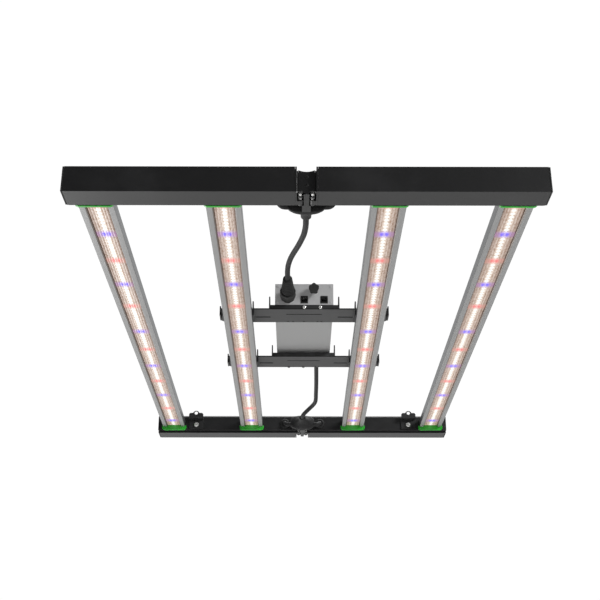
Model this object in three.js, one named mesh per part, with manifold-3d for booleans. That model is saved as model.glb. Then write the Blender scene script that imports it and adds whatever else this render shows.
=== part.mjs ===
// Folding four-bar LED grow light.
// Millimetres, +Z up. The rails' undersides lie on z = 0 and the origin is the centre of the plan.
// X runs along the rails, Y along the light bars, and -Y is the front end with the dimmer knob.
// The lamp shines towards -Z. The right half folds down and under the left half on a double hinge.

import * as THREE from 'three';
import { mergeVertices } from 'three/addons/utils/BufferGeometryUtils.js';
import Module from 'manifold-3d';

const wasm = await Module();
wasm.setup();

// ---------------------------------------------------------------- driving dimensions

const WIDTH = 600;                  // over both rail halves
const DEPTH = 1066;                 // over both rails
const CLEAR = 0.3;                  // gap between pieces that touch
const OVERCUT = 2;                  // how far a cutting tool runs past what it cuts

const RAIL_HEIGHT = 35;
const RAIL_FOOT = 35;               // depth of the underside
const RAIL_DEPTH = 43;              // depth above the notch
const RAIL_NOTCH = 4;               // height of the notch along the lower inner edge
const RAIL_STEP = 3;                // chamfer along the upper inner edge
const RAIL_WALL = 2;
const CAP_PLATE = 2;                // end cap thickness outside the tube
const CAP_PLUG = 8;                 // end cap length inside the tube

const HINGE_GAP = 24;               // between the two rail halves
const FITTING_PLATE = 2;
const FITTING_PLUG = 18;
const LINK_SIDE_GAP = 1.75;         // between the link's face and each rail half
const LINK_RECESS = 7;              // from the rail's outer face to the link's face
const LINK_PLATE = 3;
const LINK_STEP = 4.5;              // underside of the link's side portions
const LINK_DIP = 2.4;               // hollow in the link's top edge
const LINK_TAIL = 19;               // web past the rail's foot, towards the middle of the lamp
const LINK_POINT = 0.8;             // half width of the link's lowest point
const LINK_FACE_DROP = 1;           // link's face below the rails' tops
const LINK_ROOF_DROP = 3.6;         // link's roof below the rails' tops
const LINK_ROOF = 2;
const LINK_BACK_DROP = 3;           // link's rear plate below the rails' tops
const TAIL_DROP = 11;               // link's tail below the rails' tops
const WEB_WIDTH = 6.6;
const TAIL_WIDTH = 11;
const PIN_RADIUS = 2.5;
const PIN_HEIGHT = 4.1;
const PIN_TIP = 1;                  // pin past its rear lug
const KNUCKLE_RADIUS = 4;
const KNUCKLE_GAP = 0.4;            // between a knuckle and the other rail half's side of the gap
const KNUCKLE_LENGTH = 10;
const LUG_NECK = 3.6;               // height of the neck that joins a lug to the web
const RING_WIDTH = 3.5;             // the link's lug between the two bare stretches of a pin
const BARE_PIN = 5.5;               // each bare stretch of a pin

const BAR_WIDTH = 45;
const BAR_BOTTOM = 10;              // underside of the bar's two wings
const BAR_HEIGHT = 14;              // from the wings' underside to the fins' tops
const ZONE_DEPTH = 7.1;             // from the wings' underside up to the web
const BAR_WEB = 2.4;
const LED_ZONE = 27;                // width of the recess between the wings
const WING_LIP = 1.4;               // slope of the wing towards the recess
const FIN_COUNT = 6;
const FIN_WIDTH = 1.8;
const OUTER_BAR_INSET = 33.5;       // outer bar's axis from the rail's end
const INNER_BAR_X = 105;
const BOARD_THICKNESS = 1.6;
const BOARD_SIDE_GAP = 0.5;
const BOARD_END_GAP = 3;
const LENS_THICKNESS = 1.6;
const LENS_RECESS = 2.2;            // lens above the wings' underside

const END_PLATE_THICKNESS = 4;
const END_PLATE_SIDE = 2.5;         // plate past each side of the bar
const END_PLATE_ROUND = 5.5;        // radius of its lower corners
const END_PLATE_DROP = 7;           // plate below the wings
const END_PLATE_RISE = 1;           // plate above the fins
const END_PLATE_STEP = 2.5;         // height above the wings' underside where the plate gets narrow
const END_PLATE_NECK = 0.5;         // narrow part inside each side of the bar
const WIRE_HOLE_RADIUS = 4;
const WIRE_HOLE_DROP = 3.5;         // wire hole's axis below the fins' tops

const HANGER_INSET = 79.5;          // hanger's middle from the rail's end
const HANGER_WIDTH = 29.5;
const HANGER_TOP_WIDTH = 24.5;
const HANGER_SHEET = 2.5;
const HANGER_REACH = 16;            // from the rail's inner face to the upstand's outer face
const HANGER_LEG_RISE = 2;          // leg's lower edge above the rail's notch
const HANGER_SHELF_DROP = 9.5;      // shelf's underside below the rail's top
const HANGER_RISE = 1;              // upstand's shoulders above the rail's top
const HANGER_CORNER = 2.5;          // height of the upstand's leaning corners
const HANGER_CROWN = [6.5, 4.5];    // half width and height of the crown over the hole
const HANGER_HOLE_RADIUS = 3.5;
const HANGER_HOLE_RISE = 0.8;       // hole's axis above the rail's top
const HANGER_BOLT_RISE = 8.5;       // bolt above the leg's lower edge
const HANGER_BOLT_HOLE = 4.2;

const BRACKET_SHEET = 2;
const BRACKET_DEPTH = 54;
const BRACKET_OVERHANG = 6.5;       // past the inner bars' outer sides
const BRACKET_CORNER = 3;           // chamfer of the nearer corners
const BRACKET_CHAMFER = 7;          // chamfer of the farther corners
const CLIP_DEPTH = 10;              // clips below the bars' tops
const CLIP_RISE = 3.5;              // clips above the bracket's plate
const CLIP_LENGTH = 30;
const CLIP_SLANT = 8;               // how much shorter a clip is at its lower edge
const STIFFENER_HEIGHT = 12;
const STIFFENER_LENGTH = 30;
const STIFFENER_TIP = 5;            // length of a stiffener's or an ear's upper edge
const SADDLE_SIDE = 9.5;            // saddle past each side of the driver
const SADDLE_HEIGHT = 8;            // driver's underside above the bars' tops
const SADDLE_TAPER = 10;            // how much narrower each side of the saddle is at the plate
const REAR_SADDLE_INSET = 8;
const EAR_HEIGHT = 20;
const EAR_LENGTH = 30;
const SLOT_LENGTH = 24;
const SLOT_WIDTH = 3.6;
const SLOT_PLACE = 30;              // from the bracket's nearer edge to the slot
const GROOVE_LENGTH = 57;
const GROOVE_WIDTH = 2.4;
const GROOVE_DEPTH = 0.8;
const GROOVE_PLACE = 19;            // from the bracket's nearer edge to the groove
const NOTCH_XS = [-26, -18, 0, 22, 28];   // small holes along the farther edge
const NOTCH_SIZE = 2.6;

const DRIVER_WIDTH = 93;
const DRIVER_HEIGHT = 36;
const DRIVER_LENGTH = 267;
const DRIVER_FRONT = -107;          // front panel's outer face
const DRIVER_WALL = 1.8;
const DRIVER_RIBS = 8;              // on each side wall
const RIB_DEPTH = 1.2;
const RIB_CROWN = 0.55;             // share of a rib's pitch that stands out fully
const RIB_GROOVE = [0.65, 0.9];     // shares of its pitch between which the wall is deepest
const TOP_FINS = 10;
const PANEL_THICKNESS = 2.4;

const SOCKET_X = -26;
const SOCKET_RISE = 13.7;           // heights of the fittings above the driver's underside
const SOCKET_COLLAR = 3;            // thickness of its collar, and how far it reaches past the plug
const SOCKET_BARREL = 12;           // barrel in front of the panel
const SOCKET_BODY = 9;              // body behind the panel's face
const KNOB_X = 15.3;
const KNOB_RISE = 23.7;
const KNOB_RADIUS = 8.4;
const KNOB_LENGTH = 14;
const KNOB_LOBES = 5;
const KNOB_FLUTE = 1.6;             // depth of the hollows between the lobes
const KNOB_NECK = 6;                // round neck next to the panel
const KNOB_NECK_RADIUS = 5;
const SHAFT_RADIUS = 3;
const SHAFT_END = 10;               // shaft behind the panel's face
const PORT_XS = [0, 31.5];
const PORT_RISE = 8.8;
const PORT_SIZE = [11.4, 12.4];     // width and height of a port's face
const PORT_MOUTH = [8.8, 8];
const PORT_DEPTH = 12;
const PORT_PROUD = 0.6;
const CUP_FLOOR = 2;                // floor of a port
const NUT_RADIUS = 12.4;
const NUT_LENGTH = 20;
const NUT_LOBES = 8;
const NUT_FLUTE = 0.6;
const NUT_START = 4;                // from the panel to the nut
const PLUG_RADIUS = 8.2;
const PLUG_GRIP = 10;               // radius of the plug's widest part
const PLUG_END = 70;                // from the front panel to the end of the plug's boot
const BOOT_RADII = [6, 7, 8.6];   // at the cord, a little in, and where the boot meets the grip
const CORD_RADIUS = 4;
const GLAND_X = 24;
const GLAND_RISE = 13.7;
const GLAND_LENGTH = 15;
const GLAND_NECK = 6;
const GLAND_NUT = 9.5;
const GLAND_BODY = 9;               // body behind the panel's face
const INLET_X = -19;
const INLET_RISE = 17.7;
const INLET_SIZE = [31, 24];
const INLET_MOUTH = [24, 16.5];
const INLET_STEP = 4;               // how much smaller its body is than its flange
const INLET_FLANGE = 3;
const INLET_DEPTH = 17;
const CIRCUIT_GAP = 3;              // between the circuit board and the case
const CIRCUIT_ENDS = [22, 26];      // from the driver's front and rear
const TRANSFORMER = { left: -28, right: 10, start: 90, end: 135, height: 22 };
const CAPACITOR = { radius: 9, length: 22, spacing: 24, start: 30, rise: 12 };

const SPLITTER_GAP = 0.4;           // between the link's tail and the splitter
const SPLITTER_LENGTH = 40.6;
const SPLITTER_WIDTH = 50;
const SPLITTER_HEIGHT = 15;         // cord's axis
const SPLITTER_TOP = 26;
const SPLITTER_SIDE = 5.5;          // underside at the splitter's ends
const SPLITTER_SAG = 4.9;           // how much lower its middle is
const SPLITTER_DEPTH = 9.6;
const BELL_SPREAD = 1.4;            // bell's width over its height
// Bell and boot as [radius, share of the splitter's length].
const BELL = [[13.6, 0.01], [14.4, 0.15], [13, 0.27], [9.4, 0.42], [6.6, 0.59], [5.4, 0.79], [5, 1]];
const LEG_X = 36.5;
const LEG_RADIUS = 4.5;
const LEG_HEIGHT = 17;              // where a leg enters the rail
const LEG_START_HEIGHT = 11.5;      // where it leaves the splitter
const LEG_BEND = 11.5;

// Cord routes from end to end: front one from the plug's boot, rear one from the gland.
const FRONT_ROUTE = [
  [-26, -177.3, 46], [-26, -192, 45.8], [-25.8, -208, 45], [-25, -226, 43.4], [-23.2, -246, 41],
  [-20.4, -268, 37.8], [-16.8, -290, 34.2], [-12.8, -312, 30.4], [-8.9, -334, 26.8],
  [-5.4, -356, 23.4], [-2.6, -376, 20.5], [-0.9, -396, 17.9], [-0.1, -413, 16], [0, -427, 15.1],
  [0, -437.6, 15],
];
const REAR_ROUTE = [
  [24, 175.6, 46], [24.2, 192, 45.6], [24.6, 214, 44.4], [25.2, 244, 41.6], [25.7, 276, 37.8],
  [26, 308, 33.8], [26, 338, 30.4], [26, 362, 28.2], [24.6, 377, 27], [20, 390, 24.8],
  [13.4, 401, 21.6], [7, 411, 18.3], [2.2, 421, 16], [0.2, 430, 15.1], [0, 437.6, 15],
];

// ---------------------------------------------------------------- places worked out from them

const HALF_DEPTH = DEPTH / 2;
const RAIL_INNER = HALF_DEPTH - RAIL_DEPTH;           // distance of the rail's inner face from y = 0
const GAP_FACE = HINGE_GAP / 2;
const CAP_FACE = WIDTH / 2 - CAP_PLATE;
const PIN_X = GAP_FACE - KNUCKLE_RADIUS - KNUCKLE_GAP;
const LINK_FACE = HALF_DEPTH - LINK_RECESS;
const LINK_HALF = GAP_FACE - LINK_SIDE_GAP;
const LINK_TAIL_END = HALF_DEPTH - RAIL_FOOT - LINK_TAIL;
const PIN_START = LINK_FACE - LINK_PLATE;
const FIRST_RING = PIN_START - BARE_PIN;
const KNUCKLE_START = FIRST_RING - RING_WIDTH - BARE_PIN;
const KNUCKLE_END = KNUCKLE_START - KNUCKLE_LENGTH;
const REAR_LUG = KNUCKLE_END - 2 * CLEAR;
const PIN_END = REAR_LUG - LINK_PLATE - PIN_TIP;
const PIN_BORE = PIN_RADIUS + CLEAR;

const OUTER_BAR_X = WIDTH / 2 - OUTER_BAR_INSET;
const BAR_TOP = BAR_BOTTOM + BAR_HEIGHT;
const BAR_WEB_BOTTOM = BAR_BOTTOM + ZONE_DEPTH;
const BAR_HALF = RAIL_INNER - END_PLATE_THICKNESS - 2 * CLEAR;
const BOARD_HALF = LED_ZONE / 2 - BOARD_SIDE_GAP;
const BOARD_END = BAR_HALF - BOARD_END_GAP;
const BOARD_TOP = BAR_WEB_BOTTOM - CLEAR;
const LENS_BOTTOM = BAR_BOTTOM + LENS_RECESS;
const WIRE_HOLE_HEIGHT = BAR_TOP - WIRE_HOLE_DROP;

const HANGER_X = WIDTH / 2 - HANGER_INSET;
const HANGER_LEG_BOTTOM = RAIL_NOTCH + HANGER_LEG_RISE;
const HANGER_SHELF = RAIL_HEIGHT - HANGER_SHELF_DROP;
const HANGER_BOLT_HEIGHT = HANGER_LEG_BOTTOM + HANGER_BOLT_RISE;

const BRACKET_BOTTOM = BAR_TOP + CLEAR;
const BRACKET_TOP = BRACKET_BOTTOM + BRACKET_SHEET;
const BRACKET_HALF = INNER_BAR_X + BAR_WIDTH / 2 + BRACKET_OVERHANG;
const CLIP_INNER = INNER_BAR_X - BAR_WIDTH / 2 - CLEAR;
const SADDLE_HALF = DRIVER_WIDTH / 2 + SADDLE_SIDE;

const DRIVER_BOTTOM = BAR_TOP + SADDLE_HEIGHT + CLEAR;
const DRIVER_TOP = DRIVER_BOTTOM + DRIVER_HEIGHT;
const DRIVER_REAR = DRIVER_FRONT + DRIVER_LENGTH;
const BRACKET_REAR_Y = DRIVER_REAR + BRACKET_SHEET - BRACKET_DEPTH;
const SOCKET_HEIGHT = DRIVER_BOTTOM + SOCKET_RISE;
const KNOB_HEIGHT = DRIVER_BOTTOM + KNOB_RISE;
const PORT_HEIGHT = DRIVER_BOTTOM + PORT_RISE;
const GLAND_HEIGHT = DRIVER_BOTTOM + GLAND_RISE;
const INLET_HEIGHT = DRIVER_BOTTOM + INLET_RISE;
const NUT_FRONT = DRIVER_FRONT - NUT_START;

const SPLITTER_FLAT = LINK_TAIL_END - SPLITTER_GAP;   // its flat side's distance from y = 0
const SPLITTER_END = SPLITTER_FLAT - SPLITTER_LENGTH;

// ---------------------------------------------------------------- finishes

const finish = (color, roughness, metalness, more = {}) =>
  new THREE.MeshStandardMaterial({ color, roughness, metalness, ...more });

const BLACK_RAIL = finish(0x232323, 0.45, 0.3);
const BLACK_PLASTIC = finish(0x1c1c1c, 0.55, 0);
const BLACK_RUBBER = finish(0x262626, 0.7, 0);
const DARK_SHEET = finish(0x3c3c3c, 0.5, 0.3);
const ALUMINIUM = finish(0x9c9fa0, 0.4, 0.7);
const STEEL = finish(0xd6d6d6, 0.25, 1);
const GREEN_PLASTIC = finish(0x2eaf32, 0.45, 0);
const WHITE_BOARD = finish(0xf3e8da, 0.5, 0);
const CLEAR_LENS = finish(0xffffff, 0.15, 0, { transparent: true, opacity: 0.35 });
const CIRCUIT_GREEN = finish(0x2c6b3c, 0.6, 0);

// ---------------------------------------------------------------- shape helpers

function solid(geometry) {
  const bare = geometry.clone();
  for (const name of Object.keys(bare.attributes)) {
    if (name !== 'position') bare.deleteAttribute(name);
  }
  const merged = mergeVertices(bare, 1e-4);
  return new wasm.Manifold(new wasm.Mesh({
    numProp: 3,
    vertProperties: new Float32Array(merged.attributes.position.array),
    triVerts: new Uint32Array(merged.index.array),
  }));
}

function geometryOf(manifold) {
  const mesh = manifold.getMesh();
  const geometry = new THREE.BufferGeometry();
  geometry.setAttribute('position', new THREE.BufferAttribute(new Float32Array(mesh.vertProperties), 3));
  geometry.setIndex(new THREE.BufferAttribute(new Uint32Array(mesh.triVerts), 1));
  geometry.computeVertexNormals();
  return geometry;
}

const join = (first, ...rest) => geometryOf(rest.reduce((sum, next) => sum.add(solid(next)), solid(first)));
const cut = (body, ...tools) =>
  geometryOf(tools.reduce((left, tool) => left.subtract(solid(tool)), solid(body)));

const shapeOf = (points, holes = []) => {
  const shape = new THREE.Shape(points.map(([u, v]) => new THREE.Vector2(u, v)));
  shape.holes = holes.map((hole) => new THREE.Path(hole.map(([u, v]) => new THREE.Vector2(u, v))));
  return shape;
};

const extrusion = (points, depth, holes) =>
  new THREE.ExtrudeGeometry(shapeOf(points, holes), { depth, bevelEnabled: false });

// An outline in (y, z), drawn out from x0 to x1.
function alongX(points, x0, x1, holes) {
  const turn = new THREE.Matrix4().set(0, 0, 1, x0, 1, 0, 0, 0, 0, 1, 0, 0, 0, 0, 0, 1);
  return extrusion(points, x1 - x0, holes).applyMatrix4(turn);
}

// An outline in (x, z), drawn out from y0 to y1.
function alongY(points, y0, y1, holes) {
  return extrusion(points, y1 - y0, holes).rotateX(Math.PI / 2).translate(0, y1, 0);
}

// An outline in (x, y), drawn out from z0 to z1.
const alongZ = (points, z0, z1, holes) => extrusion(points, z1 - z0, holes).translate(0, 0, z0);

function box(x0, x1, y0, y1, z0, z1) {
  return new THREE.BoxGeometry(x1 - x0, y1 - y0, z1 - z0)
    .translate((x0 + x1) / 2, (y0 + y1) / 2, (z0 + z1) / 2);
}

// A round bar along Y, centred on (x, z).
function rodY(radius, y0, y1, x = 0, z = 0, sides = 24) {
  return new THREE.CylinderGeometry(radius, radius, y1 - y0, sides).translate(x, (y0 + y1) / 2, z);
}

// A turned piece about an axis along Y through (x, z); the profile is [radius, y] from low y to high y.
function turnedY(profile, x, z, sides = 28) {
  return new THREE.LatheGeometry(profile.map(([r, y]) => new THREE.Vector2(r, y)), sides).translate(x, 0, z);
}

// Points of an arc, with angles in degrees.
function arc(cx, cy, radius, from, to, steps) {
  return Array.from({ length: steps + 1 }, (_, i) => {
    const angle = THREE.MathUtils.degToRad(from + ((to - from) * i) / steps);
    return [cx + radius * Math.cos(angle), cy + radius * Math.sin(angle)];
  });
}

function tube(points, radius, steps, sides) {
  const path = new THREE.CatmullRomCurve3(points.map((p) => new THREE.Vector3(...p)), false, 'centripetal');
  const section = shapeOf(arc(0, 0, radius, 0, 360 * (1 - 1 / sides), sides - 1));
  return new THREE.ExtrudeGeometry(section, { steps, extrudePath: path, bevelEnabled: false });
}

const named = (name, geometry, material) => {
  const mesh = new THREE.Mesh(geometry, material);
  mesh.name = name;
  return mesh;
};

// ---------------------------------------------------------------- rails, made for the front end

// The rail's section in (y, z), shrunk by a margin on all sides.
function railSection(margin) {
  const front = -HALF_DEPTH + margin;
  const foot = -HALF_DEPTH + RAIL_FOOT - margin;
  const inner = -RAIL_INNER - margin;
  const corner = margin * 0.4;
  return [
    [front, margin], [foot, margin], [foot, RAIL_NOTCH + margin], [inner, RAIL_NOTCH + margin],
    [inner, RAIL_HEIGHT - RAIL_STEP - corner], [inner - RAIL_STEP + corner, RAIL_HEIGHT - margin],
    [front, RAIL_HEIGHT - margin],
  ];
}

const acrossInnerWall = (radius, x, z) =>
  rodY(radius, -RAIL_INNER - RAIL_WALL - OVERCUT, -RAIL_INNER + OVERCUT, x, z, 16);

function railGeometry(hand) {
  const span = [hand * (GAP_FACE + FITTING_PLATE + CLEAR), hand * (CAP_FACE - CLEAR)].sort((a, b) => a - b);
  const tubeBody = alongX(railSection(0), ...span, [railSection(RAIL_WALL)]);
  return cut(
    tubeBody,
    acrossInnerWall(LEG_RADIUS, hand * LEG_X, LEG_HEIGHT),
    acrossInnerWall(HANGER_BOLT_HOLE, hand * HANGER_X, HANGER_BOLT_HEIGHT),
    acrossInnerWall(WIRE_HOLE_RADIUS, hand * OUTER_BAR_X, WIRE_HOLE_HEIGHT),
    acrossInnerWall(WIRE_HOLE_RADIUS, hand * INNER_BAR_X, WIRE_HOLE_HEIGHT),
  );
}

// A plate the size of the rail's section, with a plug inside the tube.
function closure(hand, plateFace, plateDepth, plugDepth) {
  const plateEnds = [hand * plateFace, hand * (plateFace + plateDepth)].sort((a, b) => a - b);
  const plate = alongX(railSection(0), ...plateEnds);
  const inward = plugDepth > 0 ? plateFace + plateDepth : plateFace;
  const overlap = plugDepth > 0 ? -1 : 1;
  const plugSpan = [hand * (inward + overlap), hand * (inward + plugDepth)].sort((a, b) => a - b);
  return join(plate, alongX(railSection(RAIL_WALL + CLEAR), ...plugSpan));
}

const endCapGeometry = (hand) => closure(hand, CAP_FACE, CAP_PLATE, -CAP_PLUG);

function hingeFittingGeometry(hand) {
  const pinX = hand * PIN_X;
  const arm = box(
    Math.min(pinX, hand * (GAP_FACE + 1)), Math.max(pinX, hand * (GAP_FACE + 1)),
    -KNUCKLE_START, -KNUCKLE_END, PIN_HEIGHT - KNUCKLE_RADIUS, PIN_HEIGHT + KNUCKLE_RADIUS,
  );
  return cut(
    join(
      closure(hand, GAP_FACE, FITTING_PLATE, FITTING_PLUG),
      arm,
      rodY(KNUCKLE_RADIUS, -KNUCKLE_START, -KNUCKLE_END, pinX, PIN_HEIGHT),
    ),
    rodY(PIN_BORE, -KNUCKLE_START - OVERCUT, -KNUCKLE_END + OVERCUT, pinX, PIN_HEIGHT),
  );
}

// ---------------------------------------------------------------- hinge link and pins

function hingeLinkGeometry() {
  const web = WEB_WIDTH / 2;
  const tail = TAIL_WIDTH / 2;
  const wide = GAP_FACE - CLEAR;
  const dipRadius = (LINK_HALF * LINK_HALF + LINK_DIP * LINK_DIP) / (2 * LINK_DIP);
  const dipAngle = THREE.MathUtils.radToDeg(Math.asin(LINK_HALF / dipRadius));
  const faceTop = RAIL_HEIGHT - LINK_FACE_DROP;
  const roofTop = RAIL_HEIGHT - LINK_ROOF_DROP;
  const dip = arc(0, faceTop + dipRadius - LINK_DIP, dipRadius, 270 + dipAngle, 270 - dipAngle, 8);
  const faceOutline = [
    [-LINK_HALF, LINK_STEP], [-web - 1, LINK_STEP], [-LINK_POINT, CLEAR], [LINK_POINT, CLEAR],
    [web + 1, LINK_STEP], [LINK_HALF, LINK_STEP], ...dip,
  ];
  const ringStart = -FIRST_RING;
  const backStart = -REAR_LUG;
  const lugRadius = KNUCKLE_RADIUS - CLEAR;
  const lugs = [-PIN_X, PIN_X].flatMap((x) => [
    rodY(lugRadius, ringStart, ringStart + RING_WIDTH, x, PIN_HEIGHT),
    box(Math.min(x, 0), Math.max(x, 0), ringStart, ringStart + RING_WIDTH, PIN_HEIGHT,
      PIN_HEIGHT + LUG_NECK),
    rodY(lugRadius, backStart, backStart + LINK_PLATE, x, PIN_HEIGHT),
  ]);
  const body = join(
    alongY(faceOutline, -LINK_FACE, -LINK_FACE + LINK_PLATE),
    box(-web, web, -LINK_FACE + 1, -LINK_TAIL_END, CLEAR, roofTop),
    box(-tail, tail, backStart + LINK_PLATE - 1, -LINK_TAIL_END, CLEAR, RAIL_HEIGHT - TAIL_DROP),
    box(-wide, wide, backStart, backStart + LINK_PLATE, LINK_STEP, RAIL_HEIGHT - LINK_BACK_DROP),
    box(-wide, wide, -LINK_FACE + 1, backStart + 1, roofTop - LINK_ROOF, roofTop),
    box(-wide, wide, -LINK_FACE + 1, -PIN_START, LINK_STEP, roofTop),
    ...lugs,
  );
  const bores = [-PIN_X, PIN_X].map((x) => rodY(PIN_BORE, -PIN_START, -PIN_END + OVERCUT, x, PIN_HEIGHT));
  return cut(body, ...bores);
}

const hingePinGeometry = (hand) =>
  rodY(PIN_RADIUS, -PIN_START + CLEAR, -PIN_END, hand * PIN_X, PIN_HEIGHT);

// ---------------------------------------------------------------- light bars

function heatsinkSection(x) {
  const half = BAR_WIDTH / 2;
  const zone = LED_ZONE / 2;
  const webTop = BAR_WEB_BOTTOM + BAR_WEB;
  const pitch = (BAR_WIDTH - FIN_WIDTH) / (FIN_COUNT - 1);
  const fins = Array.from({ length: FIN_COUNT }, (_, i) => {
    const right = half - i * pitch;
    return [[right, webTop], [right, BAR_TOP], [right - FIN_WIDTH, BAR_TOP], [right - FIN_WIDTH, webTop]];
  }).flat();
  const outline = [
    [half, BAR_BOTTOM], ...fins.slice(1, -1), [-half, BAR_BOTTOM],
    [-zone - WING_LIP, BAR_BOTTOM], [-zone, BAR_BOTTOM + WING_LIP], [-zone, BAR_WEB_BOTTOM],
    [zone, BAR_WEB_BOTTOM], [zone, BAR_BOTTOM + WING_LIP], [zone + WING_LIP, BAR_BOTTOM],
  ];
  return outline.map(([u, v]) => [x + u, v]);
}

function endPlateSection(x) {
  const half = BAR_WIDTH / 2 + END_PLATE_SIDE;
  const neck = BAR_WIDTH / 2 - END_PLATE_NECK;
  const base = BAR_BOTTOM - END_PLATE_DROP;
  const step = BAR_BOTTOM + END_PLATE_STEP;
  const top = BAR_TOP + END_PLATE_RISE;
  const round = END_PLATE_ROUND;
  const corner = (hand, from, to) => arc(hand * (half - round), base + round, round, from, to, 4);
  const hole = arc(x, WIRE_HOLE_HEIGHT, WIRE_HOLE_RADIUS, 0, 337.5, 15);
  const outline = [
    ...corner(-1, 180, 270), ...corner(1, 270, 360), [half, step], [neck, step], [neck, top],
    [-neck, top], [-neck, step], [-half, step],
  ];
  return { outline: outline.map(([u, v]) => [x + u, v]), hole };
}

function lightBar(number, x) {
  const { outline, hole } = endPlateSection(x);
  const strip = (bottom, thickness) =>
    box(x - BOARD_HALF, x + BOARD_HALF, -BOARD_END, BOARD_END, bottom, bottom + thickness);
  const plate = (near) => alongY(outline, near, near + END_PLATE_THICKNESS, [hole]);
  const plateNear = BAR_HALF + CLEAR;
  const heatsink = alongY(heatsinkSection(x), -BAR_HALF, BAR_HALF);
  return [
    named(`bar_${number}_heatsink`, heatsink, ALUMINIUM),
    named(`bar_${number}_led_board`, strip(BOARD_TOP - BOARD_THICKNESS, BOARD_THICKNESS), WHITE_BOARD),
    named(`bar_${number}_lens`, strip(LENS_BOTTOM, LENS_THICKNESS), CLEAR_LENS),
    named(`bar_${number}_end_plate_front`, plate(-plateNear - END_PLATE_THICKNESS), GREEN_PLASTIC),
    named(`bar_${number}_end_plate_rear`, plate(plateNear), GREEN_PLASTIC),
  ];
}

// ---------------------------------------------------------------- hangers, made for the front end

function hangerGeometry(x) {
  const half = HANGER_WIDTH / 2;
  const topHalf = HANGER_TOP_WIDTH / 2;
  const wall = -RAIL_INNER + CLEAR;
  const reach = -RAIL_INNER + HANGER_REACH;
  const shelfTop = HANGER_SHELF + HANGER_SHEET;
  const top = RAIL_HEIGHT + HANGER_RISE;
  const [crownHalf, crownHeight] = HANGER_CROWN;
  const crownRadius = (crownHalf ** 2 + crownHeight ** 2) / (2 * crownHeight);
  const crownMiddle = top + crownHeight - crownRadius;
  const crownStart = Math.asin((top - crownMiddle) / crownRadius) * 180 / Math.PI;
  const crown = arc(x, crownMiddle, crownRadius, crownStart, 180 - crownStart, 12);
  const upstand = [
    [x - half, HANGER_SHELF], [x + half, HANGER_SHELF], [x + half, top - HANGER_CORNER],
    [x + topHalf, top], ...crown, [x - topHalf, top], [x - half, top - HANGER_CORNER],
  ];
  return cut(
    join(
      box(x - half, x + half, wall, wall + HANGER_SHEET, HANGER_LEG_BOTTOM, shelfTop),
      box(x - half, x + half, wall, reach, HANGER_SHELF, shelfTop),
      alongY(upstand, reach - HANGER_SHEET, reach),
    ),
    rodY(HANGER_HOLE_RADIUS, reach - HANGER_SHEET - OVERCUT, reach + OVERCUT, x,
      RAIL_HEIGHT + HANGER_HOLE_RISE, 20),
    rodY(HANGER_BOLT_HOLE, wall - OVERCUT, wall + HANGER_SHEET + OVERCUT, x, HANGER_BOLT_HEIGHT, 16),
  );
}

// ---------------------------------------------------------------- cable splitter, made for the front end

function splitterLeg(hand) {
  const row = -SPLITTER_FLAT + LEG_RADIUS;
  const turns = arc(0, 0, LEG_BEND, 90, 0, 5);
  const bend = turns.map(([u, v], i) => {
    const rise = (LEG_HEIGHT - LEG_START_HEIGHT) * THREE.MathUtils.smoothstep(i, 1, turns.length - 1);
    return [hand * (LEG_X - LEG_BEND + u), row - LEG_BEND + v, LEG_START_HEIGHT + rise];
  });
  const start = [hand * SPLITTER_WIDTH / 4, row, LEG_START_HEIGHT];
  const end = [hand * LEG_X, -RAIL_INNER + CLEAR, LEG_HEIGHT];
  return tube([start, ...bend, end], LEG_RADIUS, 12, 10);
}

function splitterGeometry() {
  const flat = -SPLITTER_FLAT;
  const half = SPLITTER_WIDTH / 2;
  const bowl = (half * half + SPLITTER_SAG * SPLITTER_SAG) / (2 * SPLITTER_SAG);
  const bowlAngle = THREE.MathUtils.radToDeg(Math.asin(half / bowl));
  const lowest = SPLITTER_SIDE - SPLITTER_SAG;
  const crossbar = alongY([
    ...arc(0, lowest + bowl, bowl, 270 - bowlAngle, 270 + bowlAngle, 10), [half, SPLITTER_TOP],
    [-half, SPLITTER_TOP],
  ], flat, flat + SPLITTER_DEPTH);
  const profile = BELL.map(([radius, share]) => [radius, flat + share * SPLITTER_LENGTH]);
  const bell = turnedY([[0, profile[0][1]], ...profile, [0, -SPLITTER_END]], 0, 0)
    .scale(BELL_SPREAD, 1, 1).translate(0, 0, SPLITTER_HEIGHT);
  return join(crossbar, bell, splitterLeg(-1), splitterLeg(1));
}

// ---------------------------------------------------------------- cross brackets

// A plate across X between two distances from the middle, on one side of the lamp.
const sideways = (hand, x) => [hand * x, hand * (x + BRACKET_SHEET)].sort((a, b) => a - b);

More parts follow.
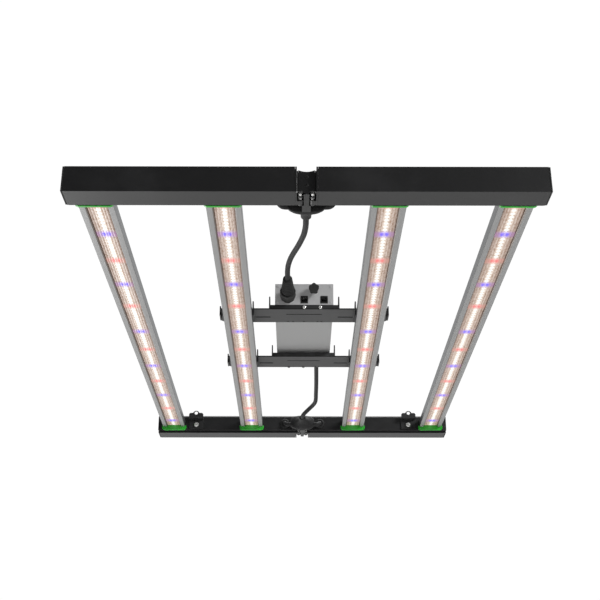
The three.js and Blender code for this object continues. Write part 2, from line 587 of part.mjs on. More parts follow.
function bracketPlate(y0) {
  const y1 = y0 + BRACKET_DEPTH;
  const half = BRACKET_HALF;
  const corner = BRACKET_CORNER;
  const chamfer = BRACKET_CHAMFER;
  const outline = [
    [-half, y0 + corner], [-half + corner, y0], [half - corner, y0], [half, y0 + corner],
    [half, y1 - chamfer], [half - chamfer, y1], [-half + chamfer, y1], [-half, y1 - chamfer],
  ];
  const through = [BRACKET_BOTTOM - OVERCUT, BRACKET_TOP + OVERCUT];
  const slotEnd = CLIP_INNER - 2 * BRACKET_SHEET;
  const slots = [-1, 1].map((hand) => {
    const ends = [hand * slotEnd, hand * (slotEnd - SLOT_LENGTH)].sort((a, b) => a - b);
    return box(...ends, y0 + SLOT_PLACE, y0 + SLOT_PLACE + SLOT_WIDTH, ...through);
  });
  const groove = box(-GROOVE_LENGTH / 2, GROOVE_LENGTH / 2, y0 + GROOVE_PLACE,
    y0 + GROOVE_PLACE + GROOVE_WIDTH, BRACKET_BOTTOM - OVERCUT, BRACKET_BOTTOM + GROOVE_DEPTH);
  const notchInner = y1 - BRACKET_SHEET - CLEAR;
  const notches = NOTCH_XS.map((x) =>
    box(x - NOTCH_SIZE / 2, x + NOTCH_SIZE / 2, notchInner - NOTCH_SIZE, notchInner, ...through));
  return cut(alongZ(outline, BRACKET_BOTTOM, BRACKET_TOP), ...slots, groove, ...notches);
}

function bracketGeometry(y0) {
  const y1 = y0 + BRACKET_DEPTH;
  const z0 = BRACKET_BOTTOM;
  const z1 = BRACKET_TOP;
  const saddleTop = BAR_TOP + SADDLE_HEIGHT;
  const neck = CLIP_INNER - BRACKET_SHEET;
  const clip = [
    [y0, z0 - CLIP_DEPTH], [y0 + CLIP_LENGTH - CLIP_SLANT, z0 - CLIP_DEPTH], [y0 + CLIP_LENGTH, z0],
    [y0 + CLIP_LENGTH, z1], [y0 + STIFFENER_TIP, z1 + CLIP_RISE], [y0, z1 + CLIP_RISE],
  ];
  const upright = (length, height) => [
    [y0, z0], [y0 + length, z0], [y0 + length, z1], [y0 + STIFFENER_TIP, z1 + height], [y0, z1 + height],
  ];
  const folds = [-1, 1].flatMap((hand) => [
    alongX(clip, ...sideways(hand, BRACKET_HALF - BRACKET_SHEET)),
    alongX(clip, ...sideways(hand, neck)),
    alongX(upright(STIFFENER_LENGTH, STIFFENER_HEIGHT), ...sideways(hand, neck)),
    alongX(upright(EAR_LENGTH, EAR_HEIGHT), ...sideways(hand, SADDLE_HALF - BRACKET_SHEET)),
  ]);
  const foot = SADDLE_HALF - SADDLE_TAPER;
  const saddle = [
    [-foot, z0], [foot, z0], [SADDLE_HALF, z1 + 1], [SADDLE_HALF, saddleTop], [-SADDLE_HALF, saddleTop],
    [-SADDLE_HALF, z1 + 1],
  ];
  const rearHalf = SADDLE_HALF - REAR_SADDLE_INSET;
  return join(
    bracketPlate(y0),
    alongY(saddle, y0, y0 + BRACKET_SHEET),
    box(-rearHalf, rearHalf, y1 - BRACKET_SHEET, y1, z0, saddleTop),
    ...folds,
  );
}

// ---------------------------------------------------------------- driver

function driverSection() {
  const half = DRIVER_WIDTH / 2;
  const ribPitch = DRIVER_HEIGHT / DRIVER_RIBS;
  const [grooveStart, grooveEnd] = RIB_GROOVE;
  const ribs = Array.from({ length: DRIVER_RIBS }, (_, i) => {
    const z = DRIVER_BOTTOM + i * ribPitch;
    return [[half, z], [half, z + ribPitch * RIB_CROWN], [half - RIB_DEPTH, z + ribPitch * grooveStart],
      [half - RIB_DEPTH, z + ribPitch * grooveEnd]];
  }).flat();
  const finPitch = DRIVER_WIDTH / TOP_FINS;
  const finFoot = DRIVER_TOP - RIB_DEPTH;
  const fins = Array.from({ length: TOP_FINS }, (_, i) => {
    const x = half - i * finPitch;
    const edge = x - finPitch / 2;
    return [[x, DRIVER_TOP], [edge, DRIVER_TOP], [edge, finFoot], [x - finPitch, finFoot]];
  }).flat().slice(0, -2);
  const left = ribs.map(([x, z]) => [-x, z]).reverse();
  return [...ribs, ...fins, ...left];
}

function rectangle(x, z, width, height) {
  return [[x - width / 2, z - height / 2], [x + width / 2, z - height / 2],
    [x + width / 2, z + height / 2], [x - width / 2, z + height / 2]];
}

function driverShell() {
  const inner = rectangle(0, DRIVER_BOTTOM + (DRIVER_HEIGHT - RIB_DEPTH) / 2,
    DRIVER_WIDTH - 2 * (DRIVER_WALL + RIB_DEPTH), DRIVER_HEIGHT - 2 * DRIVER_WALL - RIB_DEPTH);
  const inset = PANEL_THICKNESS + CLEAR;
  return alongY(driverSection(), DRIVER_FRONT + inset, DRIVER_REAR - inset, [inner]);
}

const roundHole = (x, z, radius) => arc(x, z, radius, 0, 360 - 360 / 20, 19);

function panel(outerFace, inward, openings) {
  const faces = [outerFace, outerFace + inward * PANEL_THICKNESS].sort((a, b) => a - b);
  const outline = rectangle(0, DRIVER_BOTTOM + DRIVER_HEIGHT / 2, DRIVER_WIDTH, DRIVER_HEIGHT);
  const through = [faces[0] - OVERCUT, faces[1] + OVERCUT];
  return cut(alongY(outline, ...faces), ...openings.map((opening) => alongY(opening, ...through)));
}

const frontPanel = () => panel(DRIVER_FRONT, 1, [
  roundHole(SOCKET_X, SOCKET_HEIGHT, PLUG_RADIUS),
  roundHole(KNOB_X, KNOB_HEIGHT, SHAFT_RADIUS + CLEAR),
  ...PORT_XS.map((x) => rectangle(x, PORT_HEIGHT, PORT_SIZE[0] + 2 * CLEAR, PORT_SIZE[1] + 2 * CLEAR)),
]);

const rearPanel = () => panel(DRIVER_REAR, -1, [
  roundHole(GLAND_X, GLAND_HEIGHT, GLAND_NECK + CLEAR),
  rectangle(INLET_X, INLET_HEIGHT, INLET_SIZE[0] - INLET_STEP, INLET_SIZE[1] - INLET_STEP),
]);

// Output socket: a collar on the panel, a barrel in front of it and a body behind it.
function socketGeometry() {
  const face = DRIVER_FRONT;
  const front = face - SOCKET_BARREL;
  const collar = face - SOCKET_COLLAR - CLEAR;
  const barrel = PLUG_RADIUS - 1;
  const body = PLUG_RADIUS - CLEAR;
  return turnedY([
    [0, front], [barrel, front], [barrel, collar], [PLUG_RADIUS + SOCKET_COLLAR, collar],
    [PLUG_RADIUS + SOCKET_COLLAR, face - CLEAR], [body, face - CLEAR], [body, face + SOCKET_BODY],
    [0, face + SOCKET_BODY],
  ], SOCKET_X, SOCKET_HEIGHT);
}

// Outline in (x, z) of a grip with lobes round it.
function lobed(x, z, radius, flute, lobes) {
  const steps = lobes * 6;
  return Array.from({ length: steps }, (_, i) => {
    const angle = (i / steps) * Math.PI * 2;
    const reach = radius - flute * (1 - Math.cos(angle * lobes)) / 2;
    return [x + reach * Math.sin(angle), z + reach * Math.cos(angle)];
  }).reverse();
}

// Coupling nut: a lobed grip ring that turns on the plug and draws it onto the socket.
function nutGeometry() {
  const ring = alongY(lobed(SOCKET_X, SOCKET_HEIGHT, NUT_RADIUS, NUT_FLUTE, NUT_LOBES),
    NUT_FRONT - NUT_LENGTH, NUT_FRONT);
  return cut(ring, rodY(PLUG_RADIUS + CLEAR, NUT_FRONT - NUT_LENGTH - OVERCUT, NUT_FRONT + OVERCUT,
    SOCKET_X, SOCKET_HEIGHT));
}

function plugGeometry() {
  const front = DRIVER_FRONT - SOCKET_BARREL - CLEAR;
  const gripFront = NUT_FRONT - NUT_LENGTH - CLEAR;
  const end = DRIVER_FRONT - PLUG_END;
  const [tip, mouth, root] = BOOT_RADII;
  return turnedY([
    [0, end], [tip, end], [mouth, end + 8], [root, gripFront - 16], [PLUG_GRIP, gripFront - 10],
    [PLUG_GRIP, gripFront - 2], [PLUG_GRIP - 1, gripFront], [PLUG_RADIUS, gripFront],
    [PLUG_RADIUS, front], [0, front],
  ], SOCKET_X, SOCKET_HEIGHT);
}

// Dimmer knob: a lobed grip on a round neck, with a pointer ridge and its own shaft.
function knobGeometry() {
  const base = DRIVER_FRONT - CLEAR;
  const gripEnd = base - KNOB_NECK;
  const tip = base - KNOB_LENGTH;
  return join(
    alongY(lobed(KNOB_X, KNOB_HEIGHT, KNOB_RADIUS, KNOB_FLUTE, KNOB_LOBES), tip, gripEnd),
    rodY(KNOB_NECK_RADIUS, gripEnd - 1, base, KNOB_X, KNOB_HEIGHT),
    rodY(SHAFT_RADIUS, base - 1, DRIVER_FRONT + SHAFT_END, KNOB_X, KNOB_HEIGHT, 16),
    box(KNOB_X - 1, KNOB_X + 1, tip - CLEAR, tip + 1, KNOB_HEIGHT, KNOB_HEIGHT + KNOB_RADIUS - 1),
  );
}

// Dimming port: a square cup that opens in the front panel.
function portGeometry(x) {
  const body = alongY(rectangle(x, PORT_HEIGHT, ...PORT_SIZE), DRIVER_FRONT - PORT_PROUD,
    DRIVER_FRONT + PORT_DEPTH);
  const mouth = alongY(rectangle(x, PORT_HEIGHT, ...PORT_MOUTH), DRIVER_FRONT - OVERCUT,
    DRIVER_FRONT + PORT_DEPTH - CUP_FLOOR);
  return cut(body, mouth);
}

// Mains inlet: a flange on the rear panel and a cup behind it.
function inletGeometry() {
  const back = DRIVER_REAR - INLET_DEPTH;
  const step = INLET_STEP + 2 * CLEAR;
  const flange = alongY(rectangle(INLET_X, INLET_HEIGHT, ...INLET_SIZE), DRIVER_REAR + CLEAR,
    DRIVER_REAR + INLET_FLANGE);
  const body = alongY(rectangle(INLET_X, INLET_HEIGHT, INLET_SIZE[0] - step, INLET_SIZE[1] - step), back,
    DRIVER_REAR + 1);
  const mouth = alongY(rectangle(INLET_X, INLET_HEIGHT, ...INLET_MOUTH), back + INLET_FLANGE,
    DRIVER_REAR + INLET_FLANGE + OVERCUT);
  return cut(join(flange, body), mouth);
}

function rearGlandGeometry() {
  const face = DRIVER_REAR + CLEAR;
  const inside = DRIVER_REAR - GLAND_BODY;
  return turnedY([
    [0, inside], [GLAND_NECK, inside], [GLAND_NECK, face], [GLAND_NUT, face], [GLAND_NUT, face + 7],
    [GLAND_NUT - 1.5, face + 8], [CORD_RADIUS + 1.6, face + GLAND_LENGTH], [0, face + GLAND_LENGTH],
  ], GLAND_X, GLAND_HEIGHT);
}

// Circuit board with its transformer and a row of capacitors.
function circuitGeometry() {
  const floor = DRIVER_BOTTOM + DRIVER_WALL + CIRCUIT_GAP;
  const half = DRIVER_WIDTH / 2 - DRIVER_WALL - RIB_DEPTH - CIRCUIT_GAP;
  const front = DRIVER_FRONT + CIRCUIT_ENDS[0];
  const rear = DRIVER_REAR - CIRCUIT_ENDS[1];
  const { left, right, start, end, height } = TRANSFORMER;
  const capacitors = [-1, 0, 1].map((place) =>
    new THREE.CylinderGeometry(CAPACITOR.radius, CAPACITOR.radius, CAPACITOR.length, 16)
      .rotateX(Math.PI / 2)
      .translate(place * CAPACITOR.spacing, front + CAPACITOR.start, floor + CAPACITOR.rise));
  return join(
    box(-half, half, front, rear, floor, floor + BOARD_THICKNESS),
    box(left, right, front + start, front + end, floor, floor + height),
    ...capacitors,
  );
}

const driver = () => [
  named('driver_case', driverShell(), ALUMINIUM),
  named('driver_front_panel', frontPanel(), ALUMINIUM),
  named('driver_rear_panel', rearPanel(), ALUMINIUM),
  named('driver_circuit_board', circuitGeometry(), CIRCUIT_GREEN),
  named('output_socket', socketGeometry(), BLACK_PLASTIC),
  named('coupling_nut', nutGeometry(), BLACK_PLASTIC),
  named('cord_plug', plugGeometry(), BLACK_RUBBER),
  named('dimmer_knob', knobGeometry(), BLACK_PLASTIC),
  named('dimming_port_left', portGeometry(PORT_XS[0]), BLACK_PLASTIC),
  named('dimming_port_right', portGeometry(PORT_XS[1]), BLACK_PLASTIC),
  named('mains_inlet', inletGeometry(), BLACK_PLASTIC),
  named('rear_cord_gland', rearGlandGeometry(), BLACK_PLASTIC),
];

// ---------------------------------------------------------------- assembly

// Both ends are the same, so one is built at the front and the other is it turned half a turn.
function endAssembly(end) {
  const group = new THREE.Group();
  const flip = end === 'rear';
  for (const hand of [-1, 1]) {
    const side = (hand < 0) === flip ? 'right' : 'left';
    group.add(
      named(`rail_${end}_${side}`, railGeometry(hand), BLACK_RAIL),
      named(`end_cap_${end}_${side}`, endCapGeometry(hand), BLACK_PLASTIC),
      named(`hinge_fitting_${end}_${side}`, hingeFittingGeometry(hand), BLACK_RAIL),
      named(`hinge_pin_${end}_${side}`, hingePinGeometry(hand), STEEL),
      named(`hanger_${end}_${side}`, hangerGeometry(hand * HANGER_X), DARK_SHEET),
    );
  }
  group.add(
    named(`hinge_link_${end}`, hingeLinkGeometry(), BLACK_RAIL),
    named(`cable_splitter_${end}`, splitterGeometry(), BLACK_RUBBER),
  );
  if (flip) group.rotation.z = Math.PI;
  return group;
}

const lamp = new THREE.Group();
lamp.add(endAssembly('front'), endAssembly('rear'));
[-OUTER_BAR_X, -INNER_BAR_X, INNER_BAR_X, OUTER_BAR_X].forEach((x, i) => lamp.add(...lightBar(i + 1, x)));
lamp.add(
  named('cross_bracket_front', bracketGeometry(DRIVER_FRONT), DARK_SHEET),
  named('cross_bracket_rear', bracketGeometry(BRACKET_REAR_Y), DARK_SHEET),
  ...driver(),
  named('driver_cord_front', tube(FRONT_ROUTE, CORD_RADIUS, 26, 10), BLACK_RUBBER),
  named('driver_cord_rear', tube(REAR_ROUTE, CORD_RADIUS, 26, 10), BLACK_RUBBER),
);

export default lamp;
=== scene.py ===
"""Looks of a folding four-bar LED grow light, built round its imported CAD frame.

Metres, +Z up, in the CAD frame: X runs along the rails, Y along the light bars, and the lamp shines down.
Each sub-assembly is a class that builds its fine pieces and dresses them and its CAD nodes with a finish.
"""

import logging
import math
from dataclasses import dataclass, field
from enum import Enum
from typing import Any, Callable, Iterable, Sequence, Union

import bmesh
import bpy
from mathutils import Matrix, Vector

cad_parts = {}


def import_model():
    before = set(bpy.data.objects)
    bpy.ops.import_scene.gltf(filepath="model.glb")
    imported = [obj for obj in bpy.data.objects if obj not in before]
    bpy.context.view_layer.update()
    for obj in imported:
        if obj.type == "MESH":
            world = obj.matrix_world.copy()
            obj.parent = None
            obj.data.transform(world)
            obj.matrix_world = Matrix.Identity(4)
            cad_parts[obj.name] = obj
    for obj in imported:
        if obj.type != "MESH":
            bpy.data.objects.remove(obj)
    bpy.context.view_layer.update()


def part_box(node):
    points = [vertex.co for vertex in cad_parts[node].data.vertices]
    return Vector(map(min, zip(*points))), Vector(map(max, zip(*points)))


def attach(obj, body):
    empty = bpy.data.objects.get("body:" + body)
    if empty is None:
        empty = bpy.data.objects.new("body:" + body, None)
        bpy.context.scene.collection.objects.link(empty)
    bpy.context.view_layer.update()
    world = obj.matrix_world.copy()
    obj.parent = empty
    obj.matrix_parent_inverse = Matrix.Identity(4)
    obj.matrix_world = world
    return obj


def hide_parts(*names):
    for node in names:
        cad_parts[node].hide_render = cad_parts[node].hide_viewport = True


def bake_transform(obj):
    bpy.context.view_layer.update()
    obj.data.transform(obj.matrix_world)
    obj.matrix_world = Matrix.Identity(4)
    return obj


log = logging.getLogger("grow_light")

Colour = tuple[float, float, float]
Point = tuple[float, float, float]
Number = Union[int, float]

MM = 0.001
LEFT_HALF = "left_half"
RIGHT_HALF = "right_half"
HINGE_LINKS = "hinge_links"


class End(Enum):
    """The two ends of the lamp along Y; the value is the sign of Y."""

    FRONT = -1
    REAR = 1

    @property
    def word(self) -> str:
        """The end's name in node names."""
        return self.name.lower()


class Side(Enum):
    """The two halves of the lamp along X; the value is the sign of X."""

    LEFT = -1
    RIGHT = 1

    @property
    def word(self) -> str:
        """The side's name in node names."""
        return self.name.lower()

    @property
    def body(self) -> str:
        """The CAD body that this half of the lamp is."""
        return LEFT_HALF if self is Side.LEFT else RIGHT_HALF


def linear(red: int, green: int, blue: int) -> Colour:
    """Turns a display colour with channels from 0 to 255 into scene-linear values."""

    def channel(value: int) -> float:
        share = value / 255
        return share / 12.92 if share <= 0.04045 else ((share + 0.055) / 1.055) ** 2.4

    return channel(red), channel(green), channel(blue)


# ---------------------------------------------------------------- shader maths


class Signal:
    """A socket of a shader graph; arithmetic on it adds the matching Math nodes."""

    def __init__(self, graph: "Graph", socket: bpy.types.NodeSocket) -> None:
        """Wraps a socket.

        Args:
            graph: the graph that new nodes are added to.
            socket: the output that carries the value.
        """
        self.graph = graph
        self.socket = socket

    def _maths(self, operation: str, *operands: Union["Signal", Number]) -> "Signal":
        """Adds a Math node on the operands.

        Args:
            operation: the Math node's operation.
            operands: signals or numbers, in the node's order.

        Returns:
            The node's result.
        """
        return self.graph.node("ShaderNodeMath", {"operation": operation}, dict(enumerate(operands)))[0]

    def __add__(self, other: Union["Signal", Number]) -> "Signal":
        """Sum."""
        return self._maths("ADD", self, other)

    def __radd__(self, other: Number) -> "Signal":
        """Sum with a number first."""
        return self._maths("ADD", other, self)

    def __sub__(self, other: Union["Signal", Number]) -> "Signal":
        """Difference."""
        return self._maths("SUBTRACT", self, other)

    def __rsub__(self, other: Number) -> "Signal":
        """Difference from a number."""
        return self._maths("SUBTRACT", other, self)

    def __mul__(self, other: Union["Signal", Number]) -> "Signal":
        """Product."""
        return self._maths("MULTIPLY", self, other)

    def __rmul__(self, other: Number) -> "Signal":
        """Product with a number first."""
        return self._maths("MULTIPLY", other, self)

    def __truediv__(self, other: Union["Signal", Number]) -> "Signal":
        """Quotient."""
        return self._maths("DIVIDE", self, other)

    def __rtruediv__(self, other: Number) -> "Signal":
        """Quotient of a number by this signal."""
        return self._maths("DIVIDE", other, self)

    def __abs__(self) -> "Signal":
        """Size without the sign."""
        return self._maths("ABSOLUTE", self)

    def rounded(self) -> "Signal":
        """The nearest whole number."""
        return self._maths("ROUND", self)

    def wave(self) -> "Signal":
        """The sine."""
        return self._maths("SINE", self)

    def wrapped(self, period: Number) -> "Signal":
        """The remainder within a period, never negative."""
        return self._maths("WRAP", self, period, 0.0)

    def over(self, threshold: Number) -> "Signal":
        """One where the signal is above the threshold, else zero."""
        return self._maths("GREATER_THAN", self, threshold)

    def eased(self, low: Number, high: Number, start: Number = 0.0, end: Number = 1.0) -> "Signal":
        """Smoothly goes from start at low to end at high, and stays within them.

        Args:
            low: where the change begins.
            high: where it ends.
            start: the value below low.
            end: the value above high.

        Returns:
            The eased signal.
        """
        settings = {"interpolation_type": "SMOOTHSTEP", "clamp": True}
        values = {"Value": self, "From Min": low, "From Max": high, "To Min": start, "To Max": end}
        return self.graph.node("ShaderNodeMapRange", settings, values)["Result"]


class Outputs:
    """The outputs of one node, by name or by place, as signals."""

    def __init__(self, graph: "Graph", node: bpy.types.Node) -> None:
        """Wraps a node's outputs."""
        self.graph = graph
        self.node = node

    def __getitem__(self, key: Union[str, int]) -> Signal:
        """The output with this name or place that is in use."""
        shown = [output for output in self.node.outputs if output.enabled]
        socket = shown[key] if isinstance(key, int) else next(o for o in shown if o.name == key)
        return Signal(self.graph, socket)


class Graph:
    """The node tree of one material or world."""

    def __init__(self, tree: bpy.types.NodeTree) -> None:
        """Starts an empty graph in a tree."""
        self.tree = tree
        tree.nodes.clear()

    def node(
        self,
        kind: str,
        settings: dict[str, Any] | None = None,
        values: dict[Union[str, int], Any] | None = None,
    ) -> Outputs:
        """Adds any node: its settings first, then the values or links of its sockets.

        Args:
            kind: the node's type.
            settings: the node's own settings; "stops" are a ramp's (place, colour) pairs.
            values: what goes into its sockets, by name or by place.

        Returns:
            The node's outputs.
        """
        made = self.tree.nodes.new(kind)
        for key, value in (settings or {}).items():
            if key == "stops":
                self._set_stops(made.color_ramp, value)
            else:
                setattr(made, key, value)
        for key, value in (values or {}).items():
            self._feed(self._input(made, key), value)
        return Outputs(self, made)

    @staticmethod
    def _set_stops(ramp: bpy.types.ColorRamp, stops: Sequence[tuple[float, Colour]]) -> None:
        """Gives a ramp its stops."""
        while len(ramp.elements) < len(stops):
            ramp.elements.new(1.0)
        for element, (place, colour) in zip(ramp.elements, stops):
            element.position = place
            element.color = (*colour, 1.0)

    @staticmethod
    def _input(node: bpy.types.Node, key: Union[str, int]) -> bpy.types.NodeSocket:
        """The input with this name or place; a name means the one that is in use."""
        if isinstance(key, int):
            return node.inputs[key]
        return next(i for i in node.inputs if i.name == key and i.enabled)

    def _feed(self, socket: bpy.types.NodeSocket, value: Any) -> None:
        """Links a signal to a socket, or sets the socket's own value."""
        if isinstance(value, Signal):
            self.tree.links.new(value.socket, socket)
        elif isinstance(value, tuple) and socket.type == "RGBA":
            socket.default_value = (*value, 1.0)
        else:
            socket.default_value = value

    def mix(self, share: Union[Signal, Number], first: Any, second: Any) -> Signal:
        """Mixes two colours.

        Args:
            share: how much of the second there is.
            first: a colour or a signal.
            second: a colour or a signal.

        Returns:
            The mixed colour.
        """
        settings = {"data_type": "RGBA"}
        return self.node("ShaderNodeMix", settings, {"Factor": share, "A": first, "B": second})["Result"]

    def tinted(self, share: Union[Signal, Number], colour: Any, tint: Any) -> Signal:
        """Multiplies a colour by a tint, by a share."""
        settings = {"data_type": "RGBA", "blend_type": "MULTIPLY"}
        return self.node("ShaderNodeMix", settings, {"Factor": share, "A": colour, "B": tint})["Result"]

    def ramp(self, place: Signal, stops: Sequence[tuple[float, Colour]]) -> Signal:
        """A colour ramp over a signal from 0 to 1."""
        return self.node("ShaderNodeValToRGB", {"stops": stops}, {"Fac": place})["Color"]

    def place(self) -> Outputs:
        """The point on the piece, in metres in the lamp's frame, split into X, Y and Z."""
        point = self.node("ShaderNodeTexCoord")["Object"]
        return self.node("ShaderNodeSeparateXYZ", {}, {0: point})

    def stretched(self, scale: Point) -> Signal:
        """The point on the piece with each axis scaled."""
        point = self.node("ShaderNodeTexCoord")["Object"]
        return self.node("ShaderNodeVectorMath", {"operation": "MULTIPLY"}, {0: point, 1: scale})["Vector"]

    def noise(self, scale: Point, detail: float = 3.0, roughness: float = 0.5) -> Signal:
        """Soft noise about 0.5.

        Args:
            scale: features per metre along X, Y and Z.
            detail: octaves.
            roughness: how strong the finer octaves are.

        Returns:
            The noise.
        """
        values = {"Vector": self.stretched(scale), "Scale": 1.0, "Detail": detail, "Roughness": roughness}
        return self.node("ShaderNodeTexNoise", {}, values)["Fac"]

    def bump(self, height: Signal, depth: float, strength: float = 1.0) -> Signal:
        """The normal of a relief.

        Args:
            height: the relief, from 0 to 1.
            depth: its real depth in metres.
            strength: how much of it shows.

        Returns:
            The bumped normal.
        """
        inputs = {"Strength": strength, "Distance": depth, "Height": height}
        return self.node("ShaderNodeBump", {}, inputs)["Normal"]

    def surface(self, **values: Any) -> None:
        """Adds the Principled shader and the output; a name's underscores stand for spaces."""
        named = {key.replace("_", " "): value for key, value in values.items()}
        shader = self.node("ShaderNodeBsdfPrincipled", {}, named)["BSDF"]
        self.node("ShaderNodeOutputMaterial", {}, {"Surface": shader})


# ---------------------------------------------------------------- finishes


@dataclass(frozen=True)
class Finish:
    """A finish of the lamp: a name and the record's material slot that it belongs to."""

    name: str
    slot: str

    def material(self) -> bpy.types.Material:
        """The finish's material, made once."""
        made = bpy.data.materials.get(self.name)
        if made is None:
            made = bpy.data.materials.new(self.name)
            made.use_nodes = True
            self.shade(Graph(made.node_tree))
        return made

    def shade(self, graph: Graph) -> None:
        """Builds the finish's nodes."""
        raise NotImplementedError


@dataclass(frozen=True)
class PaintedMetal(Finish):
    """Powder-coated sheet or tube: an even colour with fine orange peel and faint rubbed patches."""

    colour: Colour = linear(30, 30, 31)
    roughness: float = 0.4
    peel: float = 620.0
    peel_depth: float = 0.05 * MM
    metallic: float = 0.0

    def coat(self, graph: Graph, patches: Signal) -> Signal:
        """The coat's colour, a little paler in rubbed patches."""
        worn = tuple(min(1.0, 1.35 * c + 0.004) for c in self.colour)
        return graph.mix(patches.eased(0.42, 0.72), self.colour, worn)

    def shade(self, graph: Graph) -> None:
        """Builds the coat."""
        patches = graph.noise((14, 14, 14), 4.0, 0.6)
        grain = graph.noise((self.peel,) * 3, 2.0)
        graph.surface(
            Base_Color=self.coat(graph, patches),
            Roughness=self.roughness + 0.14 * (patches - 0.5) + 0.06 * (grain - 0.5),
            Metallic=self.metallic,
            Normal=graph.bump(grain, self.peel_depth, 0.5),
        )


@dataclass(frozen=True)
class BracketPaint(PaintedMetal):
    """The coat of the cross brackets, with painted shade on the walls of the plate's slots and holes."""

    # Painted shade on the walls of the slots: between these heights, in the colour below.
    low: float = 24.45 * MM
    high: float = 26.1 * MM
    inside: Colour = linear(14, 14, 14)

    def coat(self, graph: Graph, patches: Signal) -> Signal:
        """The coat's colour, with painted shade through the plate's thickness, on the walls of its slots and
        holes.
        """
        height = graph.place()["Z"]
        within = height.over(self.low) * (1 - height.over(self.high))
        return graph.mix(within, super().coat(graph, patches), self.inside)


@dataclass(frozen=True)
class MouldedPlastic(Finish):
    """Injection-moulded plastic: fine spark texture and slow changes of gloss."""

    colour: Colour = linear(30, 30, 30)
    roughness: float = 0.5
    texture: float = 1400.0

    def shade(self, graph: Graph) -> None:
        """Builds the plastic."""
        flow = graph.noise((40, 40, 40), 2.0)
        spark = graph.noise((self.texture,) * 3, 3.0, 0.7)
        darker = tuple(0.78 * c for c in self.colour)
        graph.surface(
            Base_Color=graph.mix(flow.eased(0.3, 0.7), darker, self.colour),
            Roughness=self.roughness + 0.12 * (flow - 0.5),
            Normal=graph.bump(spark, 0.03 * MM, 0.6),
        )


@dataclass(frozen=True)
class CordRubber(Finish):
    """Extruded or moulded black rubber with a dusty bloom."""

    colour: Colour = linear(24, 24, 25)

    def shade(self, graph: Graph) -> None:
        """Builds the rubber."""
        bloom = graph.noise((90, 90, 90), 4.0, 0.65)
        skin = graph.noise((900, 900, 900), 2.0)
        dusty = tuple(1.3 * c + 0.002 for c in self.colour)
        graph.surface(
            Base_Color=graph.mix(bloom.eased(0.45, 0.75), self.colour, dusty),
            Roughness=0.66 + 0.16 * (bloom - 0.5),
            Specular_IOR_Level=0.35,
            Normal=graph.bump(skin, 0.04 * MM, 0.5),
        )


@dataclass(frozen=True)
class ExtrudedAluminium(Finish):
    """Anodised extrusion, with fine die lines along Y."""

    colour: Colour = linear(168, 168, 168)
    roughness: float = 0.42
    metallic: float = 0.55

    def skin(self, graph: Graph, die_lines: Signal) -> Signal:
        """The colour of the anodised skin, a little darker along the die lines."""
        darker = tuple(0.86 * c for c in self.colour)
        return graph.mix(die_lines.eased(0.3, 0.7), darker, self.colour)

    def shade(self, graph: Graph) -> None:
        """Builds the anodised skin."""
        die_lines = graph.noise((2600, 6, 2600), 3.0, 0.6)
        cloud = graph.noise((25, 8, 25), 3.0)
        graph.surface(
            Base_Color=self.skin(graph, die_lines),
            Roughness=self.roughness + 0.16 * (die_lines - 0.5) + 0.08 * (cloud - 0.5),
            Metallic=self.metallic,
            Normal=graph.bump(die_lines, 0.02 * MM, 0.7),
        )


@dataclass(frozen=True)
class HeatsinkAluminium(ExtrudedAluminium):
    """The skin of one heat sink, with painted shade on its upright sides and in the recess round the LED
    board.
    """

    centre: float = 0.0
    side_shade_start: float = 21.9 * MM
    # Painted shade on the upright sides.
    side: Colour = linear(84, 85, 86)
    recess_end: float = 14.6 * MM
    # Painted shade in the recess round the LED board, tinted warm.
    recess: Colour = linear(120, 112, 106)

    def skin(self, graph: Graph, die_lines: Signal) -> Signal:
        """The extrusion's colour, with painted shade on the sides and in the recess of the LED board."""
        reach = abs(graph.place()["X"] - self.centre)
        # Masks of the painted shade on the sides and in the recess.
        upright = reach.eased(self.side_shade_start, self.side_shade_start + 0.5 * MM)
        inner = reach.eased(self.recess_end, self.recess_end + 0.6 * MM, 1.0, 0.0)
        return graph.mix(inner, graph.mix(upright, super().skin(graph, die_lines), self.side), self.recess)


@dataclass(frozen=True)
class TurnedSteel(Finish):
    """Zinc-plated turned steel, with fine rings of tool marks and small spots."""

    colour: Colour = linear(240, 240, 238)

    def shade(self, graph: Graph) -> None:
        """Builds the plated metal."""
        marks = graph.noise((300, 5200, 300), 2.0)
        spots = graph.noise((500, 500, 500), 3.0, 0.7)
        graph.surface(
            Base_Color=graph.mix(spots.eased(0.52, 0.75), self.colour, linear(168, 166, 160)),
            Roughness=0.26 + 0.16 * (marks - 0.5) + 0.1 * (spots - 0.5),
            Metallic=0.75,
            Normal=graph.bump(marks, 0.015 * MM, 0.5),
        )


@dataclass(frozen=True)
class LedBoardMask(Finish):
    """White solder mask of an LED board, with copper tracks just showing under it."""

    pitch: float = 82 / 9 * MM

    def shade(self, graph: Graph) -> None:
        """Builds the mask."""
        along = graph.place()["Y"]
        tracks = (along.wrapped(self.pitch) / self.pitch).eased(0.86, 0.96)
        grain = graph.noise((700, 700, 700), 2.0)
        graph.surface(
            Base_Color=graph.mix(tracks, linear(243, 226, 212), linear(214, 190, 168)),
            Roughness=0.42 + 0.2 * (grain - 0.5),
            Normal=graph.bump(tracks, 0.05 * MM, 0.6),
        )


@dataclass(frozen=True)
class CircuitBoard(Finish):
    """Green circuit board with darker solder mask over its tracks."""

    def shade(self, graph: Graph) -> None:
        """Builds the board."""
        tracks = graph.noise((260, 18, 260), 1.0).over(0.5)
        graph.surface(
            Base_Color=graph.mix(tracks, linear(30, 84, 46), linear(46, 112, 60)),
            Roughness=0.5 + 0.1 * tracks,
            Normal=graph.bump(tracks, 0.05 * MM, 0.5),
        )


